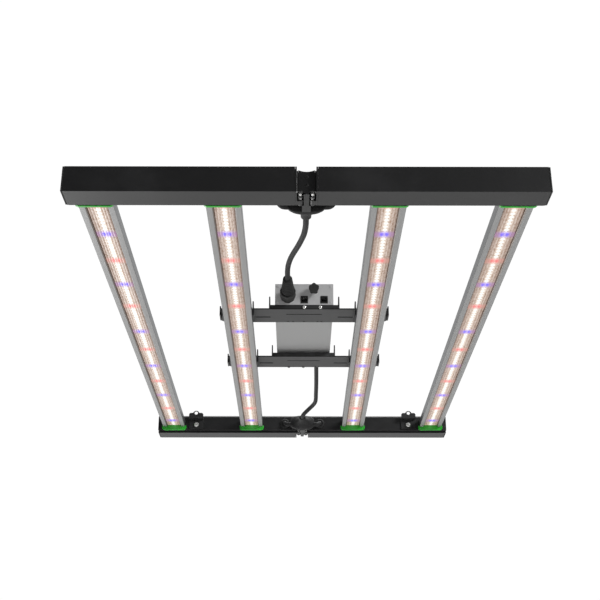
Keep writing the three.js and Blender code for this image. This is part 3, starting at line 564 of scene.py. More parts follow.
@dataclass(frozen=True)
class GlowingChip(Finish):
    """A lit LED: its phosphor or dome gives light of one colour, a little weaker at its rim."""

    colour: Colour = linear(255, 244, 226)
    strength: float = 3.0

    def shade(self, graph: Graph) -> None:
        """Builds the lit dome."""
        flicker = graph.noise((900, 900, 900), 2.0)
        rim = tuple(0.8 * c for c in self.colour)
        graph.surface(
            Base_Color=self.colour,
            Roughness=0.3,
            Emission_Color=graph.mix(flicker.eased(0.3, 0.6), rim, self.colour),
            Emission_Strength=self.strength,
        )


@dataclass(frozen=True)
class AccentPlan:
    """Where the rows of coloured LEDs sit along a bar: two boards with an even step each."""

    step: float = 82 * MM
    first_front: float = -475 * MM
    first_rear: float = -41 * MM
    seam: float = -94 * MM
    front_rows: int = 5
    rear_rows: int = 7

    def rows(self, blue: bool) -> list[float]:
        """The Y places of the blue rows, or of the red ones.

        Args:
            blue: which colour is wanted.

        Returns:
            The rows' places; the front board starts with red and the rear board with blue.
        """
        front = [self.first_front + self.step * i for i in range(self.front_rows) if (i % 2 == 1) == blue]
        rear = [self.first_rear + self.step * i for i in range(self.rear_rows) if (i % 2 == 0) == blue]
        return front + rear


@dataclass(frozen=True)
class Glow:
    """One accent LED's light on the lens: its dots, and its halo in the middle and at the edges."""

    dot: Colour
    middle: Colour
    edge: Colour


BLUE_GLOW = Glow(linear(98, 80, 255), linear(176, 148, 236), linear(162, 120, 158))
RED_GLOW = Glow(linear(240, 110, 110), linear(238, 158, 150), linear(190, 138, 124))


@dataclass(frozen=True)
class RibbedLens(Finish):
    """Clear ribbed cover whose glow is painted light: the LEDs' light drawn out into stripes by the ribs,
    with a bright spot under each LED.
    """

    centre: float = 0.0
    half_width: float = 13 * MM
    plan: AccentPlan = AccentPlan()
    chip_step: float = 82 / 9 * MM
    accent_offset: float = 3.3 * MM
    ribs: int = 7

    # Light from the middle of the bar to its edge, as (share of the half width, colour).
    STRIPES = (
        (0.00, (238, 212, 182)), (0.14, (232, 210, 188)), (0.30, (222, 204, 190)), (0.46, (212, 196, 184)),
        (0.62, (202, 184, 172)), (0.77, (184, 164, 150)), (0.92, (168, 148, 136)), (1.00, (158, 144, 136)),
    )
    SPOT = linear(255, 252, 247)
    BETWEEN_RIBS = linear(186, 158, 136)

    def shade(self, graph: Graph) -> None:
        """Paints the LEDs' light into the lens's glow: the stripes, the white spots and the rows of coloured
        ones.
        """
        place = graph.place()
        across = abs(place["X"] - self.centre)
        rear_board = place["Y"].over(self.plan.seam)
        shift = self.plan.first_front + rear_board * (self.plan.first_rear - self.plan.first_front)
        along = place["Y"] - shift

        stripes = graph.ramp(across / self.half_width, [(w, linear(*colour)) for w, colour in self.STRIPES])
        grooves = abs((across * (math.pi * self.ribs / (2 * self.half_width))).wave())
        sparkle = graph.noise((420, 150, 420), 3.0, 0.6)
        haze = grooves.eased(0.75, 1.0, 0.0, 0.55) + sparkle.eased(0.4, 0.7, 0.0, 0.8)
        light = graph.tinted(haze, stripes, self.BETWEEN_RIBS)

        white_gap = abs(along.wrapped(self.chip_step) - self.chip_step / 2)
        light = graph.mix(self._spot(across, white_gap * 0.8, 2.2 * MM, 4.2 * MM), light, self.SPOT)

        nearest = (along / self.plan.step).rounded()
        accent_gap = abs(along - nearest * self.plan.step)
        blue = abs(nearest.wrapped(2.0).over(0.5) - rear_board)
        middle = graph.mix(blue, RED_GLOW.middle, BLUE_GLOW.middle)
        edge = graph.mix(blue, RED_GLOW.edge, BLUE_GLOW.edge)
        halo = graph.mix(across.eased(2 * MM, 11 * MM), middle, edge)
        light = graph.mix(accent_gap.eased(3 * MM, 12 * MM, 0.9, 0.0), light, halo)
        dots = self._spot(abs(across - self.accent_offset), accent_gap * 0.55, 1.4 * MM, 3.3 * MM)
        light = graph.mix(dots * 0.75, light, graph.mix(blue, RED_GLOW.dot, BLUE_GLOW.dot))
        # The glow is painted light; the lens's own colour is near black.
        graph.surface(
            Base_Color=(0.02, 0.02, 0.02),
            Roughness=0.2 + 0.1 * sparkle,
            Alpha=0.88,
            Emission_Color=light,
            Emission_Strength=1.0,
        )

    @staticmethod
    def _spot(sideways: Signal, lengthways: Signal, core: float, rim: float) -> Signal:
        """A soft round spot.

        Args:
            sideways: distance from its middle across the bar.
            lengthways: distance from its middle along the bar.
            core: radius of full light.
            rim: radius where it ends.

        Returns:
            One in the core, zero beyond the rim.
        """
        square = sideways * sideways + lengthways * lengthways
        return square.eased(core * core, rim * rim, 1.0, 0.0)


@dataclass(frozen=True)
class PaleFloor(Finish):
    """Matt pale studio floor with a barely visible mottle."""

    def shade(self, graph: Graph) -> None:
        """Builds the floor."""
        mottle = graph.noise((3, 3, 3), 3.0)
        graph.surface(
            Base_Color=graph.mix(mottle, linear(232, 232, 231), linear(240, 240, 239)),
            Roughness=0.85,
        )


RAIL_PAINT = PaintedMetal("rail_paint", "rail_black", colour=linear(25, 25, 26), roughness=0.4)
SHEET_PAINT = PaintedMetal("sheet_paint", "dark_sheet", colour=linear(32, 32, 33), roughness=0.45)
BRACKET_PAINT = BracketPaint("bracket_paint", "dark_sheet", colour=linear(42, 42, 43), roughness=0.45)
BLACK_PLASTIC = MouldedPlastic("black_plastic", "black_plastic", colour=linear(30, 30, 31))
GREEN_PLASTIC = MouldedPlastic("green_plastic", "green_plastic", colour=linear(60, 222, 66), roughness=0.42)
CORD_RUBBER = CordRubber("cord_rubber", "black_rubber")
DRIVER_METAL = ExtrudedAluminium(
    "driver_aluminium", "driver_aluminium", colour=linear(182, 182, 183), metallic=0.4
)
PANEL_METAL = ExtrudedAluminium(
    "panel_aluminium", "driver_aluminium", colour=linear(200, 200, 201), metallic=0.1
)
PLATED_STEEL = TurnedSteel("plated_steel", "steel")
LED_BOARD = LedBoardMask("led_board_mask", "led_board")
CIRCUIT_BOARD = CircuitBoard("circuit_board", "circuit_board")
WHITE_CHIP = GlowingChip("white_led", "led_board", strength=3.2)
BLUE_CHIP = GlowingChip("blue_led", "led_board", colour=linear(120, 105, 255), strength=2.6)
RED_CHIP = GlowingChip("red_led", "led_board", colour=linear(255, 95, 105), strength=2.4)


# ---------------------------------------------------------------- meshes


class Solid:
    """A closed mesh under construction, in the lamp's frame."""

    def __init__(self) -> None:
        """Starts empty."""
        self.mesh = bmesh.new()

    def loft(self, rings: Sequence[Sequence[Vector]], joined: bool = False) -> "Solid":
        """Skins rings of points that match one to one.

        Args:
            rings: the rings, in order.
            joined: whether the last ring joins the first; otherwise both ends are closed with a face.

        Returns:
            This solid.
        """
        rows = [[self.mesh.verts.new(point) for point in ring] for ring in rings]
        pairs = list(zip(rows, rows[1:])) + ([(rows[-1], rows[0])] if joined else [])
        for low, high in pairs:
            for i in range(len(low)):
                j = (i + 1) % len(low)
                self.mesh.faces.new((low[i], low[j], high[j], high[i]))
        if not joined:
            self.mesh.faces.new(tuple(reversed(rows[0])))
            self.mesh.faces.new(tuple(rows[-1]))
        return self

    def turned(
        self,
        profile: Sequence[tuple[float, float]],
        origin: Point,
        axis: Point,
        steps: int = 32,
        joined: bool = False,
    ) -> "Solid":
        """Turns a profile about an axis.

        Args:
            profile: (radius, distance along the axis) pairs.
            origin: where the distance is zero.
            axis: the direction of the axis.
            steps: sides of the turned piece.
            joined: whether the profile closes on itself, as a ring's does.

        Returns:
            This solid.
        """
        along = Vector(axis).normalized()
        first = along.orthogonal().normalized()
        second = along.cross(first)
        turns = [2 * math.pi * i / steps for i in range(steps)]
        rings = [
            [Vector(origin) + along * s + (first * math.cos(t) + second * math.sin(t)) * r for t in turns]
            for r, s in profile
        ]
        return self.loft(rings, joined)

    def prism(self, outline: Sequence[Vector], sweep: Vector) -> "Solid":
        """Draws an outline out along a vector."""
        return self.loft([list(outline), [point + sweep for point in outline]])

    def block(self, low: Point, high: Point) -> "Solid":
        """Adds a block between two corners."""
        (x0, y0, z0), (x1, y1, z1) = low, high
        outline = [Vector((x0, y0, z0)), Vector((x1, y0, z0)), Vector((x1, y1, z0)), Vector((x0, y1, z0))]
        return self.prism(outline, Vector((0, 0, z1 - z0)))

    def tube(self, points: Sequence[Vector], radius: Callable[[float], float], sides: int = 16) -> "Solid":
        """Sweeps a round section along points without twist.

        Args:
            points: the centreline.
            radius: the radius at a share from 0 to 1 of the way along.
            sides: sides of the section.

        Returns:
            This solid.
        """
        rings = []
        heading = (points[1] - points[0]).normalized()
        across = heading.orthogonal().normalized()
        for i, point in enumerate(points):
            before, after = points[max(i - 1, 0)], points[min(i + 1, len(points) - 1)]
            turned = (after - before).normalized()
            across = (heading.rotation_difference(turned) @ across).normalized()
            heading = turned
            up = heading.cross(across)
            size = radius(i / (len(points) - 1))
            turns = [2 * math.pi * k / sides for k in range(sides)]
            rings.append([point + (across * math.cos(t) + up * math.sin(t)) * size for t in turns])
        return self.loft(rings)

    def piece(self, name: str, finish: Finish, smooth_deg: float = 35.0) -> bpy.types.Object:
        """Turns the solid into a finished object at the origin.

        Args:
            name: the piece's name.
            finish: what it is dressed with.
            smooth_deg: edges sharper than this stay sharp.

        Returns:
            The object.
        """
        bmesh.ops.recalc_face_normals(self.mesh, faces=self.mesh.faces)
        data = bpy.data.meshes.new(name)
        self.mesh.to_mesh(data)
        self.mesh.free()
        data.shade_smooth()
        data.set_sharp_from_angle(angle=math.radians(smooth_deg))
        made = bpy.data.objects.new(name, data)
        bpy.context.scene.collection.objects.link(made)
        data.materials.append(finish.material())
        return made


def rounded(piece: bpy.types.Object, width: float, segments: int = 2) -> bpy.types.Object:
    """Rounds a piece's sharp edges with modifiers.

    Args:
        piece: the object.
        width: the rounding's width in metres.
        segments: faces across the rounding.

    Returns:
        The same object.
    """
    bevel = piece.modifiers.new("edge_rounding", "BEVEL")
    bevel.width = width
    bevel.segments = segments
    bevel.limit_method = "ANGLE"
    bevel.angle_limit = math.radians(35)
    bevel.use_clamp_overlap = True
    normals = piece.modifiers.new("even_shading", "WEIGHTED_NORMAL")
    normals.weight = 80
    return piece


def dress(node: str, finish: Finish, edge: float = 0.3 * MM) -> bpy.types.Object:
    """Gives a CAD node its finish and rounded edges; its shape stays.

    Args:
        node: the CAD node.
        finish: what it is dressed with.
        edge: how wide its edges are rounded, in metres; zero leaves them sharp.

    Returns:
        The node's object.
    """
    shown = bpy.data.objects[node]
    if not shown.material_slots:
        shown.data.materials.append(None)
    for slot in shown.material_slots:
        slot.material = finish.material()
    shown.data.shade_smooth()
    weld = shown.modifiers.new("weld", "WELD")
    weld.merge_threshold = 0.01 * MM
    flats = shown.modifiers.new("flat_faces", "DECIMATE")
    flats.decimate_type = "DISSOLVE"
    flats.angle_limit = math.radians(0.5)
    if edge > 0:
        rounded(shown, edge)
    return shown


def mount(piece: bpy.types.Object, body: str) -> bpy.types.Object:
    """Lets a piece ride on a body and reports it."""
    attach(piece, body)
    log.info("%s rides on %s", piece.name, body)
    return piece


def screw_head(
    solid: Solid, place: Point, axis: Point, radius: float, height: float, socket: float, steps: int = 24
) -> Solid:
    """Adds a domed screw head with a round recess.

    Args:
        solid: the solid that it is added to.
        place: the middle of its seat.
        axis: the way it points.
        radius: of the head.
        height: of the head.
        socket: radius of the recess.
        steps: sides of the head.

    Returns:
        The solid.
    """
    profile = [
        (radius * 0.98, 0.0), (radius, height * 0.25),
        (radius * 0.94, height * 0.62), (radius * 0.74, height * 0.9),
        (socket * 1.12, height), (socket, height * 0.96), (socket * 0.96, height * 0.35),
    ]
    return solid.turned(profile, place, axis, steps)


# ---------------------------------------------------------------- studio


@dataclass
class Studio:
    """Camera, soft light and pale floor; the lamp hangs high above the floor."""

    camera_place: Point = (-0.012, -1.6935, -0.6457)
    camera_tilt_deg: float = 113.39
    camera_turn_deg: float = -0.19
    lens_mm: float = 65.2
    floor_drop: float = 2.2
    floor_half: float = 9.0

    def build(self) -> None:
        """Sets up the whole studio."""
        self._camera()
        self._floor()
        self._world()
        self._lights()
        bpy.context.scene.view_settings.view_transform = "Standard"

    def _camera(self) -> None:
        """Places the camera below the lamp, looking up at it from its front end."""
        data = bpy.data.cameras.new("camera")
        data.lens = self.lens_mm
        data.sensor_width = 36.0
        data.clip_end = 60.0
        camera = bpy.data.objects.new("camera", data)
        camera.location = self.camera_place
        camera.rotation_euler = (math.radians(self.camera_tilt_deg), 0.0, math.radians(self.camera_turn_deg))
        bpy.context.scene.collection.objects.link(camera)
        bpy.context.scene.camera = camera

    def _floor(self) -> None:
        """Lays the floor."""
        half = self.floor_half
        solid = Solid().block((-half, -half, -self.floor_drop - 0.02), (half, half, -self.floor_drop))
        floor = solid.piece("studio_floor", PaleFloor("pale_floor", "led_board"))

    def _world(self) -> None:
        """Makes the surroundings: white to look at, brighter behind the lamp than before it."""
        world = bpy.data.worlds.new("studio")
        world.use_nodes = True
        bpy.context.scene.world = world
        graph = Graph(world.node_tree)
        direction = graph.node("ShaderNodeTexCoord")["Generated"]
        split = graph.node("ShaderNodeSeparateXYZ", {}, {0: direction})
        behind = split["Y"].eased(-0.7, 0.5, 0.12, 1.0)
        seen = graph.node("ShaderNodeLightPath")["Is Camera Ray"]
        strength = behind + seen * (1.02 - behind)
        white = graph.node("ShaderNodeBackground", {}, {"Color": (1.0, 1.0, 1.0), "Strength": strength})
        graph.node("ShaderNodeOutputWorld", {}, {"Surface": white["Background"]})

    def _lights(self) -> None:
        """Adds the soft boxes: high over the lamp, low at its far left, and at its near right."""
        self._soft_box("high_soft_box", (0.6, 0.8, 2.6), (0, 0, 0), 2.4, 60.0)
        self._soft_box("low_soft_box", (-1.9, 2.6, -1.2), (0, 0, 0), 1.6, 25.0)
        self._soft_box("side_soft_box", (2.5, -2.1, 1.3), (0, 0, 0), 1.1, 72.0)

    @staticmethod
    def _soft_box(name: str, place: Point, target: Point, size: float, power: float) -> None:
        """Adds one square soft box that faces a point.

        Args:
            name: the light's name.
            place: where it stands.
            target: what it faces.
            size: its side in metres.
            power: in watts.
        """
        data = bpy.data.lights.new(name, "AREA")
        data.size = size
        data.energy = power
        light = bpy.data.objects.new(name, data)
        light.location = place
        light.rotation_euler = (Vector(target) - Vector(place)).to_track_quat("-Z", "Y").to_euler()
        light.visible_camera = False
        bpy.context.scene.collection.objects.link(light)


# ---------------------------------------------------------------- sub-assemblies


@dataclass
class CableRun:
    """The driver's two cords, the splitter that each ends in, and the splitter's two leads to the rails."""

    cord_radius: float = 4 * MM
    lead_radius: float = 4.5 * MM
    lead_x: float = 36.5 * MM
    lead_height: float = 17 * MM
    lead_start_height: float = 11.5 * MM
    lead_bend: float = 11.5 * MM
    splitter_face: float = 478.6 * MM
    nut_radius: float = 9.8 * MM
    nut_length: float = 5.5 * MM
    front_route: tuple[Point, ...] = (
        (-26, -177.3, 46), (-26, -192, 45.8), (-25.8, -208, 45), (-25, -226, 43.4), (-23.2, -246, 41),
        (-20.4, -268, 37.8), (-16.8, -290, 34.2), (-12.8, -312, 30.4), (-8.9, -334, 26.8), (-5.4, -356, 23.4),
        (-2.6, -376, 20.5), (-0.9, -396, 17.9), (-0.1, -413, 16), (0, -427, 15.1), (0, -437.6, 15),
    )
    rear_route: tuple[Point, ...] = (
        (24, 175.6, 46), (24.2, 192, 45.6), (24.6, 214, 44.4), (25.2, 244, 41.6), (25.7, 276, 37.8),
        (26, 308, 33.8), (26, 338, 30.4), (26, 362, 28.2), (24.6, 377, 27), (20, 390, 24.8),
        (13.4, 401, 21.6), (7, 411, 18.3), (2.2, 421, 16), (0.2, 430, 15.1), (0, 437.6, 15),
    )

    def build(self) -> None:
        """Builds both ends."""
        self._cord(End.FRONT, self.front_route)
        self._cord(End.REAR, self.rear_route)
        for end in End:
            self._splitter(end)
            for side in Side:
                self._lead(end, side)
                self._nut(end, side)

    def _cord(self, end: End, route: Sequence[Point]) -> None:
        """Sweeps one cord along its route."""
        line = smooth_line([Vector(point) * MM for point in route], 8)
        cord = Solid().tube(line, lambda share: self.cord_radius, 18).piece(f"{end.word}_cord", CORD_RUBBER)
        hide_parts(f"driver_cord_{end.word}")
        length = sum((b - a).length for a, b in zip(line, line[1:]))
        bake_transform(cord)
        log.info("%s is %.3f m long", cord.name, length)

    def _splitter(self, end: End) -> None:
        """Lofts one splitter: a flat crossbar that swells into a bell and narrows to the cord's boot."""
        node = f"cable_splitter_{end.word}"
        flat = self.splitter_face
        stations = [
            (0.0, 24.2, 13.2, 3.0), (0.8, 25.0, 14.2, 3.0), (5.0, 25.0, 14.4, 2.9), (8.0, 23.2, 14.0, 2.6),
            (10.0, 20.2, 13.3, 2.2), (12.0, 17.2, 12.3, 2.0), (14.5, 15.0, 11.0, 2.0), (17.0, 13.1, 9.4, 2.0),
            (20.5, 10.9, 7.9, 2.0), (24.0, 9.2, 6.6, 2.0), (28.0, 8.0, 5.9, 2.0), (32.0, 7.4, 5.4, 2.0),
            (36.0, 7.0, 5.2, 2.0), (39.6, 6.9, 5.0, 2.0), (40.6, 6.4, 4.6, 2.0),
        ]
        turns = [2 * math.pi * i / 48 for i in range(48)]
        rings = [
            [
                Vector((
                    MM * wide * superellipse(math.cos(t), power),
                    end.value * (flat - MM * back),
                    0.015 + MM * tall * superellipse(math.sin(t), power),
                ))
                for t in turns
            ]
            for back, wide, tall, power in stations
        ]
        block = Solid().loft(rings).piece(f"splitter_{end.word}", CORD_RUBBER, 50)
        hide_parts(node)
        mount(block, HINGE_LINKS)

    def _lead(self, end: End, side: Side) -> None:
        """Bends one lead from the splitter's end round to the gland nut on the rail."""
        flat = self.splitter_face
        bend = self.lead_bend
        rise = self.lead_height - self.lead_start_height
        line = [Vector((side.value * 20 * MM, end.value * (flat - self.lead_radius), self.lead_start_height))]
        steps = 10
        for i in range(steps + 1):
            turn = math.radians(90 * i / steps - 90)
            share = max(0.0, (i / steps - 0.2) / 0.8)
            line.append(Vector((
                side.value * (self.lead_x - bend + bend * math.cos(turn)),
                end.value * (flat - self.lead_radius + bend + bend * math.sin(turn)),
                self.lead_start_height + rise * share * share * (3 - 2 * share),
            )))
        wall = self._rail_face()
        line.append(Vector((side.value * self.lead_x, end.value * (wall - 0.4 * MM), self.lead_height)))
        lead = Solid().tube(line, lambda share: self.lead_radius, 18)
        made = lead.piece(f"splitter_lead_{end.word}_{side.word}", CORD_RUBBER)
        if side is Side.LEFT:
            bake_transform(made)
        else:
            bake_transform(made)
        log.info("%s bends from the splitter to the rail", made.name)

    def _nut(self, end: End, side: Side) -> None:
        """Turns the gland nut that holds a lead in the rail."""
        wall = end.value * (self._rail_face() - 0.1 * MM)
        place = (side.value * self.lead_x, wall, self.lead_height)
        radius, length, bore = self.nut_radius, self.nut_length, self.lead_radius + 0.1 * MM
        profile = [
            (bore, 0.0), (radius - 0.6 * MM, 0.0), (radius, 0.6 * MM), (radius, length * 0.62),
            (radius - 1.1 * MM, length * 0.84), (radius - 2.4 * MM, length), (bore + 0.8 * MM, length),
            (bore, length - 0.5 * MM),
        ]
        nut = Solid().turned(profile, place, (0, -end.value, 0), 40, joined=True)
        made = nut.piece(f"rail_gland_{end.word}_{side.word}", CORD_RUBBER)
        mount(made, side.body)

    @staticmethod
    def _rail_face() -> float:
        """Distance of the rails' inner faces from the middle of the lamp."""
        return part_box("rail_rear_left")[0].y


def superellipse(share: float, power: float) -> float:
    """A cosine or sine drawn towards a square; power 2 leaves it round."""
    return math.copysign(abs(share) ** (2 / power), share)


def smooth_line(points: Sequence[Vector], steps: int) -> list[Vector]:
    """Points along a smooth curve through the given ones, with the spacing taken into account.

    Args:
        points: what the curve passes through.
        steps: steps between two points.

    Returns:
        The curve's points.
    """
    ends = [2 * points[0] - points[1], *points, 2 * points[-1] - points[-2]]
    line = [points[0].copy()]
    for a, b, c, d in zip(ends, ends[1:], ends[2:], ends[3:]):
        t0 = 0.0
        t1 = t0 + math.sqrt((b - a).length)
        t2 = t1 + math.sqrt((c - b).length)
        t3 = t2 + math.sqrt((d - c).length)
        for i in range(1, steps + 1):
            t = t1 + (t2 - t1) * i / steps
            ab = a * ((t1 - t) / (t1 - t0)) + b * ((t - t0) / (t1 - t0))
            bc = b * ((t2 - t) / (t2 - t1)) + c * ((t - t1) / (t2 - t1))
            cd = c * ((t3 - t) / (t3 - t2)) + d * ((t - t2) / (t3 - t2))
            abc = ab * ((t2 - t) / (t2 - t0)) + bc * ((t - t0) / (t2 - t0))
            bcd = bc * ((t3 - t) / (t3 - t1)) + cd * ((t - t1) / (t3 - t1))
            line.append(abc * ((t2 - t) / (t2 - t1)) + bcd * ((t - t1) / (t2 - t1)))
    return line


@dataclass
class Rails:
    """The four rail halves with their caps, hinge fittings, links and pins."""

    edge: float = 0.6 * MM
    # Painted shade blocks in the gaps beside the hinge link: X span, depth behind the link's face, and
    # heights.
    gap_shade_span: tuple[float, float] = (10.4 * MM, 11.95 * MM)
    gap_shade_depth: tuple[float, float] = (0.3 * MM, 0.95 * MM)
    gap_shade_heights: tuple[float, float] = (4.8 * MM, 33.2 * MM)

    def build(self) -> None:
        """Dresses every piece of the two rails."""
        for end in End:
            dress(f"hinge_link_{end.word}", RAIL_PAINT, 0.5 * MM)
            for side in Side:
                tail = f"{end.word}_{side.word}"
                dress(f"rail_{tail}", RAIL_PAINT, self.edge)
                dress(f"end_cap_{tail}", BLACK_PLASTIC, self.edge)
                dress(f"hinge_fitting_{tail}", RAIL_PAINT, 0.4 * MM)
                dress(f"hinge_pin_{tail}", PLATED_STEEL, 0.4 * MM)
            self._link_screws(end)
            self._link_strips(end)
        log.info("rails dressed")

    def _link_screws(self, end: End) -> None:
        """Adds the two countersunk screws in the face of the hinge link."""
        low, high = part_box(f"hinge_link_{end.word}")
        face = high.y if end is End.REAR else low.y
        solid = Solid()
        for height in (13 * MM, 24 * MM):
            seat = (0.0, face - end.value * 0.2 * MM, height)
            screw_head(solid, seat, (0, end.value, 0), 2.3 * MM, 0.8 * MM, 1 * MM)
        made = solid.piece(f"hinge_link_screws_{end.word}", RAIL_PAINT)
        mount(made, HINGE_LINKS)

    def _link_strips(self, end: End) -> None:
        """Adds thin dark blocks beside the face of the hinge link, as painted shade in the gaps to the rail
        halves.

        Args:
            end: The end of the lamp whose hinge link gets the painted shade blocks.
        """
        low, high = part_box(f"hinge_link_{end.word}")
        face = max(abs(low.y), abs(high.y))
        bottom, top = self.gap_shade_heights
        y_low, y_high = sorted(end.value * (face - depth) for depth in self.gap_shade_depth)
        solid = Solid()
        for side in Side:
            x_low, x_high = sorted(side.value * x for x in self.gap_shade_span)
            solid.block((x_low, y_low, bottom), (x_high, y_high, top))
        mount(solid.piece(f"hinge_link_strips_{end.word}", CORD_RUBBER), HINGE_LINKS)


@dataclass
class LightBar:
    """One light bar: heat sink, LED board, lit chips, ribbed lens and two green end plates."""

    number: int
    side: Side
    chip_step: float = 82 / 9 * MM
    chip_radius: float = 2.3 * MM
    chip_height: float = 0.9 * MM
    accent_offset: float = 3.3 * MM
    ribs: int = 7
    plan: AccentPlan = field(default_factory=AccentPlan)

    def build(self) -> None:
        """Builds the bar's fine pieces and dresses its nodes."""
        low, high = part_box(f"bar_{self.number}_heatsink")
        centre = (low.x + high.x) / 2
        metal = HeatsinkAluminium(f"bar_aluminium_{self.number}", "bar_aluminium", centre=centre)
        dress(f"bar_{self.number}_heatsink", metal, 0.35 * MM)
        dress(f"bar_{self.number}_led_board", LED_BOARD, 0)
        for end in End:
            dress(f"bar_{self.number}_end_plate_{end.word}", GREEN_PLASTIC, 0.5 * MM)
        self._lens()
        self._chips("white", WHITE_CHIP, self._white_places(), self.chip_radius)
        self._chips("blue", BLUE_CHIP, self._accent_places(True), self.chip_radius * 0.8)
        self._chips("red", RED_CHIP, self._accent_places(False), self.chip_radius * 0.8)
        log.info("bar %d built on %s", self.number, self.side.body)

    def _lens(self) -> None:
        """Draws the ribbed lens out along the bar."""
        node = f"bar_{self.number}_lens"
        low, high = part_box(node)
        width = high.x - low.x
        count = self.ribs * 8
        under = [
            Vector((low.x + width * i / count, low.y, low.z + self._rib(i / count)))
            for i in range(count + 1)
        ]
        outline = [*under, Vector((high.x, low.y, high.z)), Vector((low.x, low.y, high.z))]
        finish = RibbedLens(
            f"ribbed_lens_{self.number}", "clear_lens", centre=(low.x + high.x) / 2, half_width=width / 2
        )
        body = Solid().prism(outline, Vector((0, high.y - low.y, 0)))
        lens = body.piece(f"bar_{self.number}_ribbed_lens", finish)
        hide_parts(node)
        mount(lens, self.side.body)

    def _rib(self, share: float) -> float:
        """Height of the lens's underside above its lowest line, at a share of its width."""
        return 0.55 * MM * (1 - abs(math.sin(math.pi * self.ribs * share)))

    def _white_places(self) -> list[Point]:
        """The places of the white chips on the board's underside."""
        low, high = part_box(f"bar_{self.number}_led_board")
        centre = (low.x + high.x) / 2
        margin = 3 * MM
        places = []
        for first, start, stop in (
            (self.plan.first_front, low.y + margin, self.plan.seam - margin),
            (self.plan.first_rear, self.plan.seam + margin, high.y - margin),
        ):
            begin = math.ceil((start - first) / self.chip_step - 0.5)
            finish = math.floor((stop - first) / self.chip_step - 0.5)
            places += [(centre, first + self.chip_step * (k + 0.5), low.z) for k in range(begin, finish + 1)]
        return places

    def _accent_places(self, blue: bool) -> list[Point]:
        """The places of the blue chips, or of the red ones: two in each row."""
        low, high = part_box(f"bar_{self.number}_led_board")
        centre = (low.x + high.x) / 2
        return [
            (centre + hand * self.accent_offset, row, low.z)
            for row in self.plan.rows(blue)
            for hand in (-1, 1)
            if low.y + 3 * MM < row < high.y - 3 * MM
        ]

    def _chips(self, colour: str, finish: Finish, places: Iterable[Point], radius: float) -> None:
        """Adds the domes of one colour of chip as one piece."""
        solid = Solid()
        height = self.chip_height
        profile = [
            (radius, 0.0), (radius, height * 0.3), (radius * 0.8, height * 0.8), (radius * 0.35, height),
        ]
        for x, y, z in places:
            solid.turned(profile, (x, y, z - 0.02 * MM), (0, 0, -1), 12)
        mount(solid.piece(f"bar_{self.number}_{colour}_leds", finish, 60), self.side.body)


@dataclass
class Hangers:
    """The four hanging brackets and the bolts that hold them on the rails."""

    bolt_height: float = 14.5 * MM
    sheet: float = 2.5 * MM

    def build(self) -> None:
        """Dresses the hangers and adds their bolts."""
        for end in End:
            for side in Side:
                node = f"hanger_{end.word}_{side.word}"
                dress(node, SHEET_PAINT, 0.5 * MM)
                self._bolt(end, side, node)

    def _bolt(self, end: End, side: Side, node: str) -> None:
        """Adds one bolt on its washer."""
        low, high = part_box(node)
        wall = max(abs(low.y), abs(high.y)) - self.sheet
        axis = (0, -end.value, 0)
        centre = ((low.x + high.x) / 2, end.value * wall, self.bolt_height)
        washer = Solid().turned(
            [(4.3 * MM, 0.02 * MM), (7.2 * MM, 0.02 * MM), (7.2 * MM, 0.9 * MM), (4.3 * MM, 0.9 * MM)],
            centre, axis, 36, joined=True,
        )
        mount(washer.piece(f"hanger_washer_{end.word}_{side.word}", BLACK_PLASTIC), side.body)
        seat = (centre[0], end.value * (wall - 0.92 * MM), centre[2])
        bolt = screw_head(Solid(), seat, axis, 4.85 * MM, 3.2 * MM, 1.0 * MM, 36)
        mount(bolt.piece(f"hanger_bolt_{end.word}_{side.word}", PLATED_STEEL), side.body)


@dataclass
class CrossBrackets:
    """The two sheet-metal brackets that carry the driver on the inner bars, and their screws."""

    front_screws: tuple[float, ...] = (0.0, 25.5 * MM)
    rear_screws: tuple[float, ...] = (-26 * MM, 0.0)
    front_height: float = 28 * MM
    rear_height: float = 25.6 * MM

    def build(self) -> None:
        """Dresses the brackets and adds the screws on their upright flanges."""
        for end in End:
            dress(f"cross_bracket_{end.word}", BRACKET_PAINT, 0.3 * MM)
        self._screws(End.FRONT, self.front_screws, self.front_height)
        self._screws(End.REAR, self.rear_screws, self.rear_height)

    @staticmethod
    def _screws(end: End, places: Sequence[float], height: float) -> None:
        """Adds the pan-head screws of one bracket, on the side that faces the lamp's end.

        Args:
            end: the bracket's end.
            places: the screws' X places.
            height: of their axes.
        """
        low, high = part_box(f"cross_bracket_{end.word}")
        face = low.y if end is End.FRONT else high.y
        solid = Solid()
        for x in places:
            screw_head(solid, (x, face, height), (0, end.value, 0), 2.9 * MM, 1.9 * MM, 1.1 * MM)
        mount(solid.piece(f"bracket_screws_{end.word}", PLATED_STEEL), LEFT_HALF)


